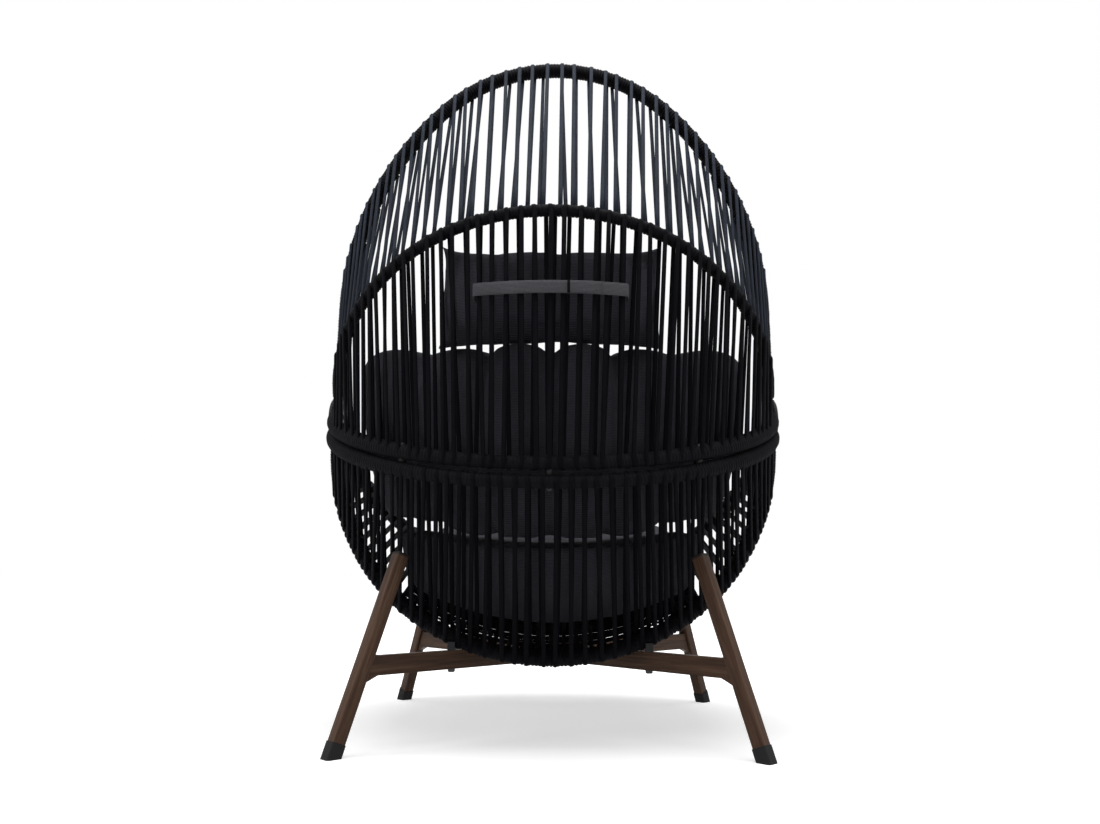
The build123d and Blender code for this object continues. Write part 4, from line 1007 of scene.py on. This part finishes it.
def seen_directly(tree):
    """1 for rays that show the background: camera, glossy and transmission rays."""
    path = node(tree, "ShaderNodeLightPath")
    either = math_node(tree, "MAXIMUM", path.outputs["Is Camera Ray"], path.outputs["Is Glossy Ray"])
    return math_node(tree, "MAXIMUM", either, path.outputs["Is Transmission Ray"])


floor_mat, tree, bsdf = shader("pale_floor", 0.9, Base_Color=(0.80, 0.80, 0.80, 1.0), Specular_IOR_Level=0.0,
                               Emission_Color=(1.0, 1.0, 1.0, 1.0))
spot = node(tree, "ShaderNodeTexCoord").outputs["Object"]
away = node(tree, "ShaderNodeVectorMath", {0: spot}, operation="LENGTH")
glow = node(tree, "ShaderNodeMapRange", {"Value": away.outputs["Value"]}, interpolation_type="SMOOTHSTEP")
for key, value in (("From Min", 0.4), ("From Max", 1.3), ("To Min", 0.55), ("To Max", 1.0)):
    glow.inputs[key].default_value = value
tree.links.new(math_node(tree, "MULTIPLY", seen_directly(tree), glow.outputs["Result"]),
               bsdf.inputs["Emission Strength"])
paint(floor, floor_mat)

world = bpy.data.worlds.new("studio")
scene.world = world
world.use_nodes = True
tree = world.node_tree
sky = tree.nodes["Background"]
sky.inputs["Color"].default_value = (1.0, 1.0, 1.0, 1.0)
light_level = 0.16          # strength for diffuse rays; the rays that show the background get 1
shown = math_node(tree, "MULTIPLY", seen_directly(tree), 1.0 - light_level)
tree.links.new(math_node(tree, "ADD", light_level, shown), sky.inputs["Strength"])


def area_light(name, place, target, size, power):
    lamp = bpy.data.lights.new(name, "AREA")
    lamp.shape = "RECTANGLE"
    lamp.size, lamp.size_y = size
    lamp.energy = power
    obj = bpy.data.objects.new(name, lamp)
    scene.collection.objects.link(obj)
    obj.location = place
    obj.rotation_euler = (Vector(target) - Vector(place)).to_track_quat("-Z", "Y").to_euler()


area_light("top_light", (0.0, 0.5, 3.4), (0.0, 0.0, 0.8), (2.6, 2.2), 105.0)
area_light("left_light", (2.9, 1.3, 1.9), (0.0, 0.0, 0.6), (1.2, 2.0), 24.0)
area_light("right_light", (-2.9, 1.3, 1.9), (0.0, 0.0, 0.6), (1.2, 2.0), 14.0)

CAMERA_PLACE = Vector((-0.0272, 2.0441, 0.3234))
CAMERA_YAW, CAMERA_PITCH, CAMERA_ROLL = math.radians(0.937), math.radians(9.52), math.radians(0.35)
SENSOR = 36.0
CAMERA_LENS = 935.3 / 1100 * SENSOR     # fitted focal length over the photograph's width, both in pixels
level = Vector((math.sin(CAMERA_YAW), -math.cos(CAMERA_YAW), 0.0))
ahead = level * math.cos(CAMERA_PITCH) + Vector((0.0, 0.0, 1.0)) * math.sin(CAMERA_PITCH)
right = level.cross(Vector((0.0, 0.0, 1.0))).normalized()
above = right.cross(ahead).normalized()
rolled_right = right * math.cos(CAMERA_ROLL) + above * math.sin(CAMERA_ROLL)
rolled_above = above * math.cos(CAMERA_ROLL) - right * math.sin(CAMERA_ROLL)
lens = bpy.data.cameras.new("camera")
lens.sensor_width = SENSOR
lens.lens = CAMERA_LENS
lens.clip_start, lens.clip_end = 0.01, 100.0
camera = bpy.data.objects.new("camera", lens)
scene.collection.objects.link(camera)
camera.matrix_world = Matrix((
    (rolled_right.x, rolled_above.x, -ahead.x, CAMERA_PLACE.x),
    (rolled_right.y, rolled_above.y, -ahead.y, CAMERA_PLACE.y),
    (rolled_right.z, rolled_above.z, -ahead.z, CAMERA_PLACE.z),
    (0.0, 0.0, 0.0, 1.0)))
scene.camera = camera
scene.view_settings.view_transform = "Standard"
